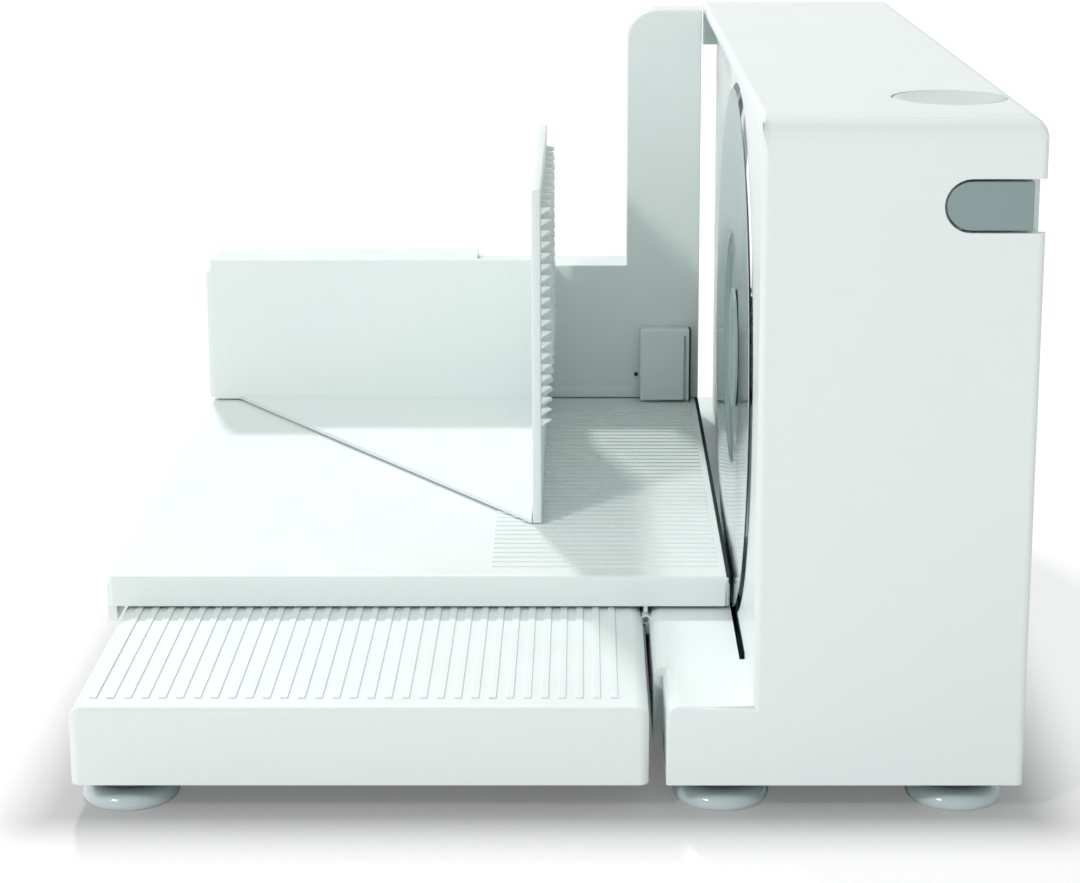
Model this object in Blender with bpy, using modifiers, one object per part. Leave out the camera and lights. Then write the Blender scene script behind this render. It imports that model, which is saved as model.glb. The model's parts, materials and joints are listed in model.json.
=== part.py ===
"""Folding electric food slicer, modelled as separate pieces on their real joints.

Metres, +Z up. Pieces are drawn from the blade side's face (x), the near end face (y) and the body's
underside (z), and placed so that the world's origin is at the middle of the footprint, on the floor.
"""
import math

import bmesh
import bpy
from mathutils import Matrix, Vector

# Clearances shared by all pieces
GAP = 0.0003
OVERRUN = 0.002
RUNNING_GAP = 0.0001
MERGE = 0.00002

# Body moulding: base, near housing block, roof beam and far post
BODY_DEPTH = 0.368
BLADE_TOP_MARGIN = 0.0062
HOUSE_WIDTH = 0.0799
WHEEL_ROOM = 0.0140
WALL = 0.003
NEAR_TOP_ROUND = 0.010
TOP_RIGHT_ROUND = 0.005
EDGE_ROUND = 0.002
POST_X = 0.0246
POST_DEPTH = 0.038
CROSS_DEPTH = 0.022
CROSS_HEIGHT = 0.0166
ROOF_SKIN = 0.003
BEAM_HEIGHT = 0.017

# Base and the seam that it folds at
BASE_HEIGHT = 0.0241
BASE_ROUND = 0.004
SEAM_FROM_BLADE = 0.02945
SEAM_WIDTH = 0.0021
LEFT_BASE_WIDTH = 0.171
FRONT_DEPTH = 0.039
FRONT_SETBACK = 0.0029
FRONT_STEP = 0.0004
RIB_PITCH = 0.00515
RIB_WIDTH = 0.0022
RIB_HEIGHT = 0.0005
RIB_END_MARGIN = 0.008
STIFFENER_COUNT = 4
STIFFENER_WIDTH = 0.002
FOOT_BOSS_RADIUS = 0.011
SLIT_WIDTH = 0.002
SLIT_DEPTH = 0.0041
SLIT_NEAR = 0.041
SLIT_WALL_GAP = 0.001
SPINE_FLOOR = 0.0076
SPINE_WIDTH = 0.015

# Fold hinge
HINGE_DEPTH = 0.0033
HINGE_PIN_RADIUS = 0.0009
HINGE_KNUCKLE_RADIUS = 0.0017
HINGE_LUG_LENGTH = 0.0075
HINGE_MIDDLE_LENGTH = 0.009
HINGE_END_MARGIN = 0.003
HINGE_ARM_REACH = 0.006
HINGE_ARM_RISE = 0.001
HINGE_ARM_DROP = 0.005

# Suction feet
FOOT_HEIGHT = 0.010
FOOT_RADIUS = 0.0145
FOOT_NECK_RADIUS = 0.009
FOOT_LIP = 0.0015
FOOT_FROM_END = 0.018
LEFT_FOOT_INSET = 0.0148
INNER_FOOT_X = -0.0084
OUTER_FOOT_INSET = 0.0179

# Round blade, its carrier and drive
BLADE_RADIUS = 0.085
BLADE_THICKNESS = 0.0012
BLADE_BEVEL = 0.006
BLADE_DISH_RADIUS = 0.036
BLADE_DISH_DEPTH = 0.0014
BLADE_BORE = 0.0085
BLADE_NEAR_MARGIN = 0.026
BLADE_DIP = 0.0023
RECESS_CLEARANCE = 0.002
RECESS_DEPTH = 0.008
CARRIER_RADIUS = 0.020
CARRIER_THICKNESS = 0.0035
SPINDLE_RADIUS = 0.005
BUSH_RADIUS = 0.008
BUSH_BOSS_RADIUS = 0.011
BUSH_END_X = 0.026
LOCK_RADIUS = 0.0195
LOCK_THICKNESS = 0.0009
LOCK_STEM_RADIUS = 0.007
LOCK_GRIP_WIDTH = 0.005
LOCK_GRIP_LENGTH = 0.028

# Worm wheel and worm
WHEEL_X = 0.0376
WHEEL_TEETH = 40
WHEEL_MODULE = 0.00125
WHEEL_WIDTH = 0.008
WHEEL_RIM = 0.0035
WHEEL_WEB = 0.003
WHEEL_HUB_RADIUS = 0.010
WHEEL_HUB_WIDTH = 0.014
TOOTH_TIP_WIDTH = 0.0008
TOOTH_ROOT_WIDTH = 0.0018
WORM_PITCH_RADIUS = 0.006
WORM_LENGTH = 0.024
WORM_CORE_RADIUS = 0.0044
WORM_CREST_RADIUS = 0.0068
WORM_CREST_WIDTH = 0.0005
WORM_FOOT_WIDTH = 0.0013
WORM_TURN_STEPS = 12

# Motor, upright beside the wheel
MOTOR_RADIUS = 0.022
MOTOR_FLOOR_GAP = 0.0095
MOTOR_WORM_GAP = 0.0228
MOTOR_WALL = 0.0018
MAGNET_THICKNESS = 0.004
MAGNET_ANGLE = math.radians(130)
ARMATURE_RADIUS = 0.0150
ARMATURE_ROOM = 0.030
CORE_FROM_BOTTOM = 0.013
ARMATURE_SLOTS = 8
SLOT_DEPTH = 0.0045
SLOT_OPENING = 0.003
WINDING_RADIUS = 0.0125
WINDING_OVERHANG = 0.004
COMMUTATOR_RADIUS = 0.0055
COMMUTATOR_LENGTH = 0.008
SHAFT_RADIUS = 0.0025
SHAFT_BUSH_RADIUS = 0.006
SHAFT_BUSH_LENGTH = 0.006
FAN_RADIUS = 0.013
FAN_BLADES = 8
FAN_HEIGHT = 0.005
FAN_DISC = 0.001
FAN_BLADE_THICKNESS = 0.001
BRACKET_THICKNESS = 0.003
BRACKET_SIDE = 0.0475
BRACKET_WEB = 0.0015
BRACKET_WEB_INSET = 0.0012
BRACKET_WEB_REACH = 0.0132
TOP_BEARING_BLOCK = 0.0138
TOP_BEARING_HEIGHT = 0.008

# Food carriage
CARRIAGE_NEAR = 0.0867
CARRIAGE_HEIGHT = 0.0115
CARRIAGE_FLOAT = 0.0013
CARRIAGE_OVERHANG = 0.0039
BLADE_CLEARANCE = 0.0007
TABLE_SKIN = 0.0026
TABLE_ROUND = 0.0018
TABLE_RIB_PITCH = 0.005
TABLE_RIB_COUNT = 46
TABLE_RIB_WIDTH = 0.0018
TABLE_RIB_HEIGHT = 0.0004
TABLE_RIB_LENGTH = 0.075
TABLE_RIB_MARGIN = 0.0035
SKIRT_THICKNESS = 0.003
SKIRT_OUT = 0.001
SKIRT_DROP = 0.0064
SKID_WIDTH = 0.006
WALL_FROM_FAR = 0.047
WALL_DEPTH = 0.022
WALL_OVERHANG = 0.0014
WALL_STEP_X = -0.0319
WALL_RIGHT = -0.0018
WALL_LOW_HEIGHT = 0.057
WALL_LOW_CHAMFER = 0.0035
WALL_HIGH_ROUND = 0.012
WALL_SKIN = 0.0028
CATCH_LEFT = -0.0263
CATCH_WIDTH = 0.0205
CATCH_HEIGHT = 0.0302
CATCH_OUT = 0.007
CATCH_LEDGE = 0.0012
SEAM_RIB_DEPTH = 0.0023
SEAM_RIB_WIDTH = 0.0013
HOOK_LENGTH = 0.006
HOOK_DEPTH = 0.0012
SHOE_LENGTH = 0.0225
SHOE_WIDTH = 0.0015
SHOE_HEIGHT = 0.0085
SHOE_FOOT_REACH = 0.0021
SHOE_FOOT_HEIGHT = 0.002
SHOE_FAR_MARGIN = 0.003
CARRIAGE_TRAVEL = 0.205

# Food holder with its toothed plate
HOLDER_INSET = 0.0025
HOLDER_RIGHT = -0.0644
HOLDER_THICKNESS = 0.003
HOLDER_RISE = 0.0028
HOOK_FLANGE_INSET = 0.0009
HOOK_FLANGE_SHORT = 0.0297
HOOK_FLANGE_THICKNESS = 0.0024
HOOK_LIP_DROP = 0.008
HOOK_CHAMFER = 0.003
FOOT_PLATE_THICKNESS = 0.0014
FOOT_PLATE_INSET = 0.0105
TOOTH_PLATE_THICKNESS = 0.0032
TOOTH_PLATE_NEAR = 0.1426
TOOTH_PLATE_HEIGHT = 0.1277
TOOTH_PLATE_ROUND = 0.003
TOOTH_PLATE_TOP_DEPTH = 0.070
TOOTH_PITCH = 0.0037
TOOTH_LENGTH = 0.0037
TOOTH_ROWS = 25
TOOTH_ROW_TOP_MARGIN = 0.002
TOOTH_STRIP_MARGIN = 0.0281

# Slice thickness stop, its rack, and the knob with its pinion
STOP_OPENING = 0.0068
STOP_THICKNESS = 0.0025
STOP_CROSS_GAP = 0.0004
STOP_BLOCK_GAP = 0.007
STOP_BASE_GAP = 0.0009
STOP_ROOF_GAP = 0.0018
STOP_BLADE_GAP = 0.003
STOP_RIB_DEPTH = 0.0025
STOP_RIB_WIDTH = 0.002
STOP_RIB_Z = (0.060, 0.106)
RACK_MODULE = 0.001
RACK_WIDTH = 0.008
RACK_HEIGHT = 0.006
RACK_PAST_KNOB = 0.0105
RACK_TEETH_BEFORE_KNOB = 0.0191
PINION_TEETH = 8
PINION_TIP_WIDTH = 0.0006
PINION_ROOT_WIDTH = 0.0014
RACK_TIP_WIDTH = 0.0006
RACK_ROOT_WIDTH = 0.0013
KNOB_FROM_SIDE = 0.0278
KNOB_FROM_TOP = 0.048
KNOB_RADIUS = 0.018
KNOB_HEIGHT = 0.017
KNOB_FLUTES = 14
KNOB_FLUTE_RADIUS = 0.0022
KNOB_SHAFT_RADIUS = 0.0022
GUIDE_THICKNESS = 0.003

# Controls
BUTTON_RADIUS = 0.017
BUTTON_FROM_SIDE = 0.0216
BUTTON_Y = 0.046
BUTTON_DISH = 0.0007
BUTTON_SKIN = 0.0022
BUTTON_SKIRT = 0.008
BUTTON_FLANGE = 0.0012
BUTTON_STEM_RADIUS = 0.002
BUTTON_TRAVEL = 0.0032
SHELF_FROM_TOP = 0.022
SHELF_THICKNESS = 0.0025
SHELF_WIDTH = 0.030
SPRING_RADIUS = 0.005
SPRING_WIRE_RADIUS = 0.0004
SPRING_TURNS = 5
SWITCH_LENGTH = 0.020
SWITCH_WIDTH = 0.0065
SWITCH_HEIGHT = 0.010
SWITCH_EAR = 0.004
TERMINAL_WIDTH = 0.003
TERMINAL_THICKNESS = 0.0006
TERMINAL_LENGTH = 0.005
NOTCH_WIDTH = 0.0288
NOTCH_FROM_TOP = 0.0324
NOTCH_HEIGHT = 0.0154
NOTCH_DEPTH = 0.009
PADDLE_GAP = 0.0008
PADDLE_SIDE_INSET = 0.0038
PADDLE_THICKNESS = 0.0045
PADDLE_PIVOT_INSET = 0.0049
PADDLE_PIVOT_RADIUS = 0.0012
PADDLE_PIVOT_LENGTH = 0.0018

# Covers, gland
COVER_THICKNESS = 0.0024
COVER_SILL = 0.0034
COVER_FROM_TOP = 0.015
COVER_LEDGE = 0.0025
SCREW_BOSS_RADIUS = 0.0035
BOTTOM_THICKNESS = 0.0025
BOTTOM_VENT_COUNT = 7
BOTTOM_VENT_PITCH = 0.005
BOTTOM_VENT_WIDTH = 0.0022
BOTTOM_VENT_LENGTH = 0.030
GLAND_RADIUS = 0.0048
GLAND_FLANGE_RADIUS = 0.0075
GLAND_FLANGE = 0.002
GLAND_BORE = 0.003
GLAND_Y = 0.240

# Round faces per full turn
FINE_SIDES = 60
ROUND_SIDES = 32
SMALL_SIDES = 16
ARC_STEPS = 4

# Places that follow from the sizes above
SEAM_X = -SEAM_FROM_BLADE
LEFT_BASE_RIGHT = SEAM_X - SEAM_WIDTH / 2
LEFT_BASE_LEFT = LEFT_BASE_RIGHT - LEFT_BASE_WIDTH
RIB_COUNT = int((LEFT_BASE_WIDTH - 2 * BASE_ROUND - RIB_WIDTH) / RIB_PITCH)
RIGHT_BASE_LEFT = SEAM_X + SEAM_WIDTH / 2
FRONT_LEFT = RIGHT_BASE_LEFT + FRONT_SETBACK
HINGE_Z = BASE_HEIGHT - HINGE_DEPTH
LEFT_FOOT_X = LEFT_BASE_LEFT + LEFT_FOOT_INSET
RIGHT_FOOT_X = (INNER_FOOT_X, HOUSE_WIDTH - OUTER_FOOT_INSET)

# Blade, wheel and motor
BLADE_Y = BLADE_RADIUS + BLADE_NEAR_MARGIN
BLADE_Z = BASE_HEIGHT - BLADE_DIP + BLADE_RADIUS
BLADE_LEFT = -BLADE_THICKNESS
SLIT_LEFT = BLADE_LEFT - (SLIT_WIDTH - BLADE_THICKNESS) / 2
WHEEL_PITCH_RADIUS = WHEEL_TEETH * WHEEL_MODULE / 2
WORM_LEAD = math.pi * WHEEL_MODULE
MOTOR_Y = BLADE_Y - WHEEL_PITCH_RADIUS - WORM_PITCH_RADIUS
MOTOR_BOTTOM_Z = BOTTOM_THICKNESS + MOTOR_FLOOR_GAP
MOTOR_TOP_Z = BLADE_Z - WORM_LENGTH / 2 - MOTOR_WORM_GAP
MOTOR_LENGTH = MOTOR_TOP_Z - MOTOR_BOTTOM_Z
ARMATURE_LENGTH = MOTOR_LENGTH - ARMATURE_ROOM
CORE_Z = MOTOR_BOTTOM_Z + CORE_FROM_BOTTOM + ARMATURE_LENGTH / 2
BRACKET_TOP_Z = MOTOR_TOP_Z + GAP + BRACKET_THICKNESS
TOP_BEARING_Z = BLADE_Z + WORM_LENGTH / 2 + TOP_BEARING_HEIGHT

# Housing
BODY_HEIGHT = BLADE_Z + BLADE_RADIUS + BLADE_TOP_MARGIN
NEAR_DEPTH = BLADE_Y + WHEEL_PITCH_RADIUS + WHEEL_ROOM
POST_NEAR = BODY_DEPTH - POST_DEPTH
CROSS_NEAR = BODY_DEPTH - CROSS_DEPTH
CROSS_Z = BODY_HEIGHT - CROSS_HEIGHT
ROOF_UNDER = BODY_HEIGHT - ROOF_SKIN
BEAM_Z = BODY_HEIGHT - BEAM_HEIGHT
CAVITY_LEFT = RECESS_DEPTH + WALL
CAVITY_RIGHT = HOUSE_WIDTH - WALL
COVER_TOP = BODY_HEIGHT - COVER_FROM_TOP

# Carriage and holder
CARRIAGE_TOP = BASE_HEIGHT + CARRIAGE_HEIGHT
CARRIAGE_BOTTOM = BASE_HEIGHT + CARRIAGE_FLOAT
CARRIAGE_LEFT = LEFT_BASE_LEFT - CARRIAGE_OVERHANG
TABLE_RIGHT = BLADE_LEFT - BLADE_CLEARANCE
TABLE_REST = CARRIAGE_TOP + TABLE_RIB_HEIGHT + GAP
WALL_LEFT = CARRIAGE_LEFT - WALL_OVERHANG
WALL_NEAR = BODY_DEPTH - WALL_FROM_FAR
WALL_FAR = WALL_NEAR + WALL_DEPTH
WALL_LOW_TOP = CARRIAGE_TOP + WALL_LOW_HEIGHT
WALL_HIGH_TOP = BODY_HEIGHT
SLIT_FAR = WALL_NEAR - SLIT_WALL_GAP
HOLDER_FAR = WALL_NEAR - GAP
HOLDER_LEFT = WALL_LEFT + HOLDER_INSET
HOLDER_TOP = WALL_LOW_TOP + HOLDER_RISE
HOOK_FLANGE_LEFT = HOLDER_LEFT + HOOK_FLANGE_INSET
HOOK_FLANGE_RIGHT = HOLDER_RIGHT - HOOK_FLANGE_SHORT
FOOT_PLATE_LEFT = HOLDER_LEFT + FOOT_PLATE_INSET
TOOTH_PLATE_TOP = CARRIAGE_TOP + TOOTH_PLATE_HEIGHT
TOOTH_STRIP_DEPTH = HOLDER_FAR - TOOTH_PLATE_NEAR - TOOTH_STRIP_MARGIN

# Thickness stop and controls
STOP_X = BLADE_LEFT + STOP_OPENING
STOP_FAR = CROSS_NEAR - STOP_CROSS_GAP
STOP_NEAR = NEAR_DEPTH + STOP_BLOCK_GAP
STOP_BOTTOM = BASE_HEIGHT + STOP_BASE_GAP
STOP_TOP = ROOF_UNDER - STOP_ROOF_GAP
KNOB_X = HOUSE_WIDTH - KNOB_FROM_SIDE
KNOB_Z = BODY_HEIGHT - KNOB_FROM_TOP
PINION_RADIUS = PINION_TEETH * RACK_MODULE / 2
RACK_Z = KNOB_Z - PINION_RADIUS
RACK_FAR = STOP_FAR
RACK_NEAR = STOP_FAR - RACK_WIDTH
RACK_END_X = KNOB_X + RACK_PAST_KNOB
RACK_FIRST_TOOTH_X = KNOB_X - RACK_TEETH_BEFORE_KNOB
BUTTON_X = HOUSE_WIDTH - BUTTON_FROM_SIDE
SHELF_Z = BODY_HEIGHT - SHELF_FROM_TOP
NOTCH_LEFT = HOUSE_WIDTH - NOTCH_WIDTH
NOTCH_BOTTOM = BODY_HEIGHT - NOTCH_FROM_TOP
PADDLE_RIGHT = HOUSE_WIDTH - PADDLE_SIDE_INSET
PADDLE_PIVOT_X = NOTCH_LEFT + PADDLE_PIVOT_INSET

# World place of the drawing's zero: the footprint's middle on the floor
REACH_LEFT = WALL_LEFT
REACH_FAR = BODY_DEPTH + GAP + KNOB_HEIGHT
SHIFT = Vector((-(REACH_LEFT + HOUSE_WIDTH) / 2, -REACH_FAR / 2, FOOT_HEIGHT))

# Looks: colour, roughness, metallic
LOOKS = {
    "white_plastic": ((0.80, 0.86, 0.84), 0.42, 0.0),
    "table_plastic": ((0.86, 0.91, 0.90), 0.38, 0.0),
    "grey_plastic": ((0.30, 0.38, 0.38), 0.45, 0.0),
    "button_plastic": ((0.62, 0.69, 0.68), 0.35, 0.0),
    "blade_steel": ((0.62, 0.66, 0.66), 0.28, 1.0),
    "shaft_steel": ((0.50, 0.52, 0.53), 0.25, 1.0),
    "can_steel": ((0.42, 0.44, 0.45), 0.35, 1.0),
    "brass": ((0.70, 0.52, 0.25), 0.30, 1.0),
    "copper": ((0.72, 0.38, 0.22), 0.35, 1.0),
    "gear_plastic": ((0.78, 0.77, 0.70), 0.40, 0.0),
    "black_plastic": ((0.03, 0.03, 0.035), 0.50, 0.0),
    "foot_rubber": ((0.45, 0.52, 0.53), 0.18, 0.0),
}


def clear_scene():
    """Start from an empty file."""
    for item in list(bpy.data.objects):
        bpy.data.objects.remove(item, do_unlink=True)


def collection(name):
    """A collection linked to the scene."""
    made = bpy.data.collections.new(name)
    bpy.context.scene.collection.children.link(made)
    return made


clear_scene()
PARTS = collection("food_slicer")
CUTTERS = collection("cutters")


def material(look):
    """The Principled material of a look, made once."""
    made = bpy.data.materials.get(look)
    if made is None:
        colour, roughness, metallic = LOOKS[look]
        made = bpy.data.materials.new(look)
        made.use_nodes = True
        shader = made.node_tree.nodes["Principled BSDF"]
        shader.inputs["Base Color"].default_value = (*colour, 1.0)
        shader.inputs["Roughness"].default_value = roughness
        shader.inputs["Metallic"].default_value = metallic
    return made


def world(point):
    """World place of a drawing point."""
    return Vector(point) + SHIFT


def add(name, mesh, centre, look=None, turn=(0, 0, 0)):
    """Object of a mesh: a part when it has a look, else a cutter."""
    item = bpy.data.objects.new(name, mesh)
    (PARTS if look else CUTTERS).objects.link(item)
    item.location = world(centre)
    item.rotation_euler = turn
    if look:
        mesh.materials.append(material(look))
    else:
        item.hide_render = True
        item.display_type = "WIRE"
    return item


def mesh_of(name, build):
    """Mesh that a bmesh function fills."""
    work = bmesh.new()
    build(work)
    bmesh.ops.recalc_face_normals(work, faces=work.faces)
    mesh = bpy.data.meshes.new(name)
    work.to_mesh(mesh)
    work.free()
    return mesh


AXIS_TURN = {
    "X": (0, math.radians(90), 0),
    "Y": (math.radians(-90), 0, 0),
    "Z": (0, 0, 0),
}
OUTLINE_TURN = {
    "X": (math.radians(90), 0, math.radians(90)),
    "Y": (math.radians(90), 0, math.radians(180)),
    "Z": (0, 0, 0),
}


def box(name, low, high, look=None):
    """Box between two corners."""
    low, high = Vector(low), Vector(high)

    def build(work):
        bmesh.ops.create_cube(work, size=1)
        bmesh.ops.scale(work, vec=high - low, verts=work.verts)

    return add(name, mesh_of(name, build), (low + high) / 2, look)


def rod(name, axis, centre, radius, length, look=None, sides=ROUND_SIDES, far_radius=None):
    """Round bar or cone about an axis, by its middle."""

    def build(work):
        bmesh.ops.create_cone(
            work, cap_ends=True, segments=sides, radius1=radius,
            radius2=radius if far_radius is None else far_radius, depth=length,
        )

    item = add(name, mesh_of(name, build), centre, look, AXIS_TURN[axis])
    item.data.shade_smooth()
    item.data.set_sharp_from_angle(angle=math.radians(35))
    return item


def turned(name, axis, centre, profile, look=None, sides=ROUND_SIDES):
    """Turned shape: (radius, place along the axis) points, outer side from top to bottom."""
    mesh = bpy.data.meshes.new(name)
    points = [(radius, 0, height) for radius, height in profile]
    closed = profile[0][0] > 0 or profile[-1][0] > 0
    edges = [(i, i + 1) for i in range(len(points) - 1)]
    if closed:
        edges.append((len(points) - 1, 0))
    mesh.from_pydata(points, edges, [])
    item = add(name, mesh, centre, look, AXIS_TURN[axis])
    screw = item.modifiers.new("turn", "SCREW")
    screw.axis = "Z"
    screw.steps = sides
    screw.render_steps = sides
    screw.use_merge_vertices = True
    screw.merge_threshold = MERGE
    screw.use_smooth_shade = True
    return item


def prism(name, axis, outline, low, high, look=None):
    """Flat outline pulled along an axis. Outline points are (y, z), (x, z) or (x, y)."""
    curve = bpy.data.curves.new(name, "CURVE")
    curve.dimensions = "2D"
    curve.fill_mode = "BOTH"
    spline = curve.splines.new("POLY")
    spline.points.add(len(outline) - 1)
    side = -1 if axis == "Y" else 1
    for point, (across, up) in zip(spline.points, outline):
        point.co = (side * across, up, 0, 1)
    spline.use_cyclic_u = True
    curve.extrude = (high - low) / 2
    guide = bpy.data.objects.new(name + "_outline", curve)
    CUTTERS.objects.link(guide)
    bpy.context.view_layer.update()
    mesh = bpy.data.meshes.new_from_object(guide.evaluated_get(bpy.context.evaluated_depsgraph_get()))
    bpy.data.objects.remove(guide)
    work = bmesh.new()
    work.from_mesh(mesh)
    bmesh.ops.remove_doubles(work, verts=work.verts, dist=MERGE)
    bmesh.ops.recalc_face_normals(work, faces=work.faces)
    work.to_mesh(mesh)
    work.free()
    mesh.name = name
    middle = (low + high) / 2
    centre = {"X": (middle, 0, 0), "Y": (0, middle, 0), "Z": (0, 0, middle)}[axis]
    return add(name, mesh, centre, look, OUTLINE_TURN[axis])


def arc(centre, radius, start, end, steps):
    """Points of an arc, angles in degrees."""
    angles = [math.radians(start + (end - start) * i / steps) for i in range(steps + 1)]
    return [(centre[0] + radius * math.cos(a), centre[1] + radius * math.sin(a)) for a in angles]


def round_edges(item, widths):
    """Round the edges that each test picks, each by its own width. Tests read world edge middles."""
    largest = max(width for _, width in widths)
    mesh = item.data
    weights = mesh.attributes.new("bevel_weight_edge", "FLOAT", "EDGE")
    frame = Matrix.LocRotScale(item.location, item.rotation_euler, None)
    for edge in mesh.edges:
        ends = [frame @ mesh.vertices[i].co - SHIFT for i in edge.vertices]
        for test, width in widths:
            if test((ends[0] + ends[1]) / 2, ends[1] - ends[0]):
                weights.data[edge.index].value = width / largest
    bevel = item.modifiers.new("rounding", "BEVEL")
    bevel.limit_method = "WEIGHT"
    bevel.width = largest
    bevel.segments = 4
    return item


def bevel(item, width, segments=2, angle=30):
    """Round every edge sharper than an angle."""
    rounding = item.modifiers.new("rounding", "BEVEL")
    rounding.limit_method = "ANGLE"
    rounding.angle_limit = math.radians(angle)
    rounding.width = width
    rounding.segments = segments
    return item


def boolean(item, others, operation):
    """Join or cut an object with others, which become guides."""
    for other in others:
        if other.name in PARTS.objects:
            PARTS.objects.unlink(other)
            CUTTERS.objects.link(other)
        other.hide_render = True
        other.display_type = "WIRE"
        step = item.modifiers.new(operation.lower(), "BOOLEAN")
        step.operation = operation
        step.object = other
    return item


def cut(item, *others):
    """Take other shapes out of an object."""
    return boolean(item, others, "DIFFERENCE")


def fuse(item, *others):
    """Join other shapes to an object."""
    return boolean(item, others, "UNION")


def repeat(item, count, step):
    """Row of equal shapes in one object."""
    row = item.modifiers.new("row", "ARRAY")
    row.count = count
    row.use_relative_offset = False
    row.use_constant_offset = True
    row.constant_offset_displace = step
    return item


def joint(name, point, items, parent=None):
    """Empty on a joint's axis that carries the pieces of a moving body."""
    pivot = bpy.data.objects.new(name, None)
    PARTS.objects.link(pivot)
    pivot.location = world(point)
    if parent:
        pivot.parent = parent
        pivot.location = world(point) - parent.matrix_world.translation
    bpy.context.view_layer.update()
    for item in items:
        item.parent = pivot
        item.location = item.location - pivot.matrix_world.translation
    return pivot


# Fixed body
def near(value, target, slack=EDGE_ROUND):
    """Whether two places are the same, within a small edge."""
    return abs(value - target) < slack


def housing_block():
    """Near block, roof and post as one rounded block, before its openings."""
    item = box("body_shell", (0, 0, 0), (HOUSE_WIDTH, BODY_DEPTH, BODY_HEIGHT), "white_plastic")
    return round_edges(item, [
        (lambda mid, way: near(mid.z, BODY_HEIGHT) and near(mid.y, 0), NEAR_TOP_ROUND),
        (lambda mid, way: near(mid.z, BODY_HEIGHT) and near(mid.y, BODY_DEPTH), NEAR_TOP_ROUND),
        (lambda mid, way: near(mid.z, BODY_HEIGHT) and near(mid.x, HOUSE_WIDTH), TOP_RIGHT_ROUND),
        (lambda mid, way: near(mid.z, BODY_HEIGHT) and near(mid.x, 0), EDGE_ROUND),
        (lambda mid, way: abs(way.z) > WALL and mid.z > 0, EDGE_ROUND),
    ])


def right_base():
    """Right half of the base: a rear length at the seam and a set back front block."""
    outline = [(RIGHT_BASE_LEFT, 0)]
    outline += arc((RIGHT_BASE_LEFT + BASE_ROUND, BASE_HEIGHT - BASE_ROUND), BASE_ROUND, 180, 90, ARC_STEPS)
    outline += [(RECESS_DEPTH, BASE_HEIGHT), (RECESS_DEPTH, 0)]
    rear = prism("base_rear", "Y", outline, FRONT_DEPTH - BASE_ROUND, BODY_DEPTH)
    front = box("base_front", (FRONT_LEFT, 0, 0), (RECESS_DEPTH, FRONT_DEPTH, BASE_HEIGHT + FRONT_STEP))
    round_edges(front, [
        (lambda mid, way: near(mid.x, FRONT_LEFT) and near(mid.z, BASE_HEIGHT), BASE_ROUND),
        (lambda mid, way: near(mid.y, 0) and near(mid.z, BASE_HEIGHT), EDGE_ROUND),
        (lambda mid, way: near(mid.x, FRONT_LEFT) and near(mid.y, 0), EDGE_ROUND / 2),
    ])
    return rear, front


def slice_exit_cutters():
    """Openings that leave the near block, roof skin, beam and far post."""
    right = HOUSE_WIDTH + OVERRUN
    return (
        box("exit_opening", (POST_X - OVERRUN, NEAR_DEPTH, BASE_HEIGHT), (right, POST_NEAR, BEAM_Z)),
        box("stop_bay", (-OVERRUN, NEAR_DEPTH, BASE_HEIGHT), (POST_X, CROSS_NEAR, ROOF_UNDER)),
        box("far_bay", (-OVERRUN, CROSS_NEAR - OVERRUN, BASE_HEIGHT), (POST_X, BODY_DEPTH + OVERRUN, CROSS_Z)),
        box("beam_channel", (POST_X + WALL, NEAR_DEPTH - OVERRUN, BEAM_Z - OVERRUN),
            (HOUSE_WIDTH - NEAR_TOP_ROUND, POST_NEAR + OVERRUN, ROOF_UNDER)),
    )


def blade_cutters():
    """Round recess for the blade and the slit that its rim dips into."""
    radius = BLADE_RADIUS + RECESS_CLEARANCE
    return (
        rod("blade_recess", "X", ((SLIT_LEFT + RECESS_DEPTH) / 2, BLADE_Y, BLADE_Z), radius,
            RECESS_DEPTH - SLIT_LEFT, sides=FINE_SIDES),
        box("blade_slit", (SLIT_LEFT, SLIT_NEAR, BASE_HEIGHT - SLIT_DEPTH),
            (SLIT_LEFT + SLIT_WIDTH, SLIT_FAR, BASE_HEIGHT + OVERRUN)),
    )


def hollow_cutters():
    """Hollows of the near block, the post and the base, open below or on the right."""
    under_skin = BASE_HEIGHT - WALL
    left = FRONT_LEFT + WALL
    spine_left = SLIT_LEFT + SLIT_WIDTH / 2 - SPINE_WIDTH / 4
    far = BODY_DEPTH - WALL
    motor_room = box("motor_room", (CAVITY_LEFT, WALL, -OVERRUN),
                     (CAVITY_RIGHT, NEAR_DEPTH - WALL, ROOF_UNDER))
    round_edges(motor_room, [
        (lambda mid, way: near(mid.z, ROOF_UNDER) and near(mid.y, WALL), NEAR_TOP_ROUND - WALL),
    ])
    return (
        motor_room,
        box("base_room", (left, WALL, -OVERRUN), (CAVITY_RIGHT, far, BASE_HEIGHT - SPINE_FLOOR)),
        box("base_room_left", (left, WALL, 0), (spine_left, far, under_skin)),
        box("base_room_right", (CAVITY_LEFT, WALL, 0), (CAVITY_RIGHT, far, under_skin)),
        box("post_room", (POST_X + WALL, POST_NEAR + WALL, BASE_HEIGHT + COVER_SILL),
            (HOUSE_WIDTH + OVERRUN, far, COVER_TOP)),
        box("cover_opening", (CAVITY_RIGHT - OVERRUN, WALL, BASE_HEIGHT + COVER_SILL),
            (HOUSE_WIDTH + OVERRUN, NEAR_DEPTH - WALL, COVER_TOP)),
    )


def hinge_stations():
    """Near end, outer lug length and middle lug length of the two hinges."""
    near_end = CARRIAGE_NEAR
    far_end = BODY_DEPTH - HINGE_END_MARGIN - (2 * HINGE_LUG_LENGTH + 2 * GAP + HINGE_END_MARGIN)
    return (near_end, HINGE_LUG_LENGTH, HINGE_MIDDLE_LENGTH), (far_end, HINGE_LUG_LENGTH / 2, HINGE_LUG_LENGTH)


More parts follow.
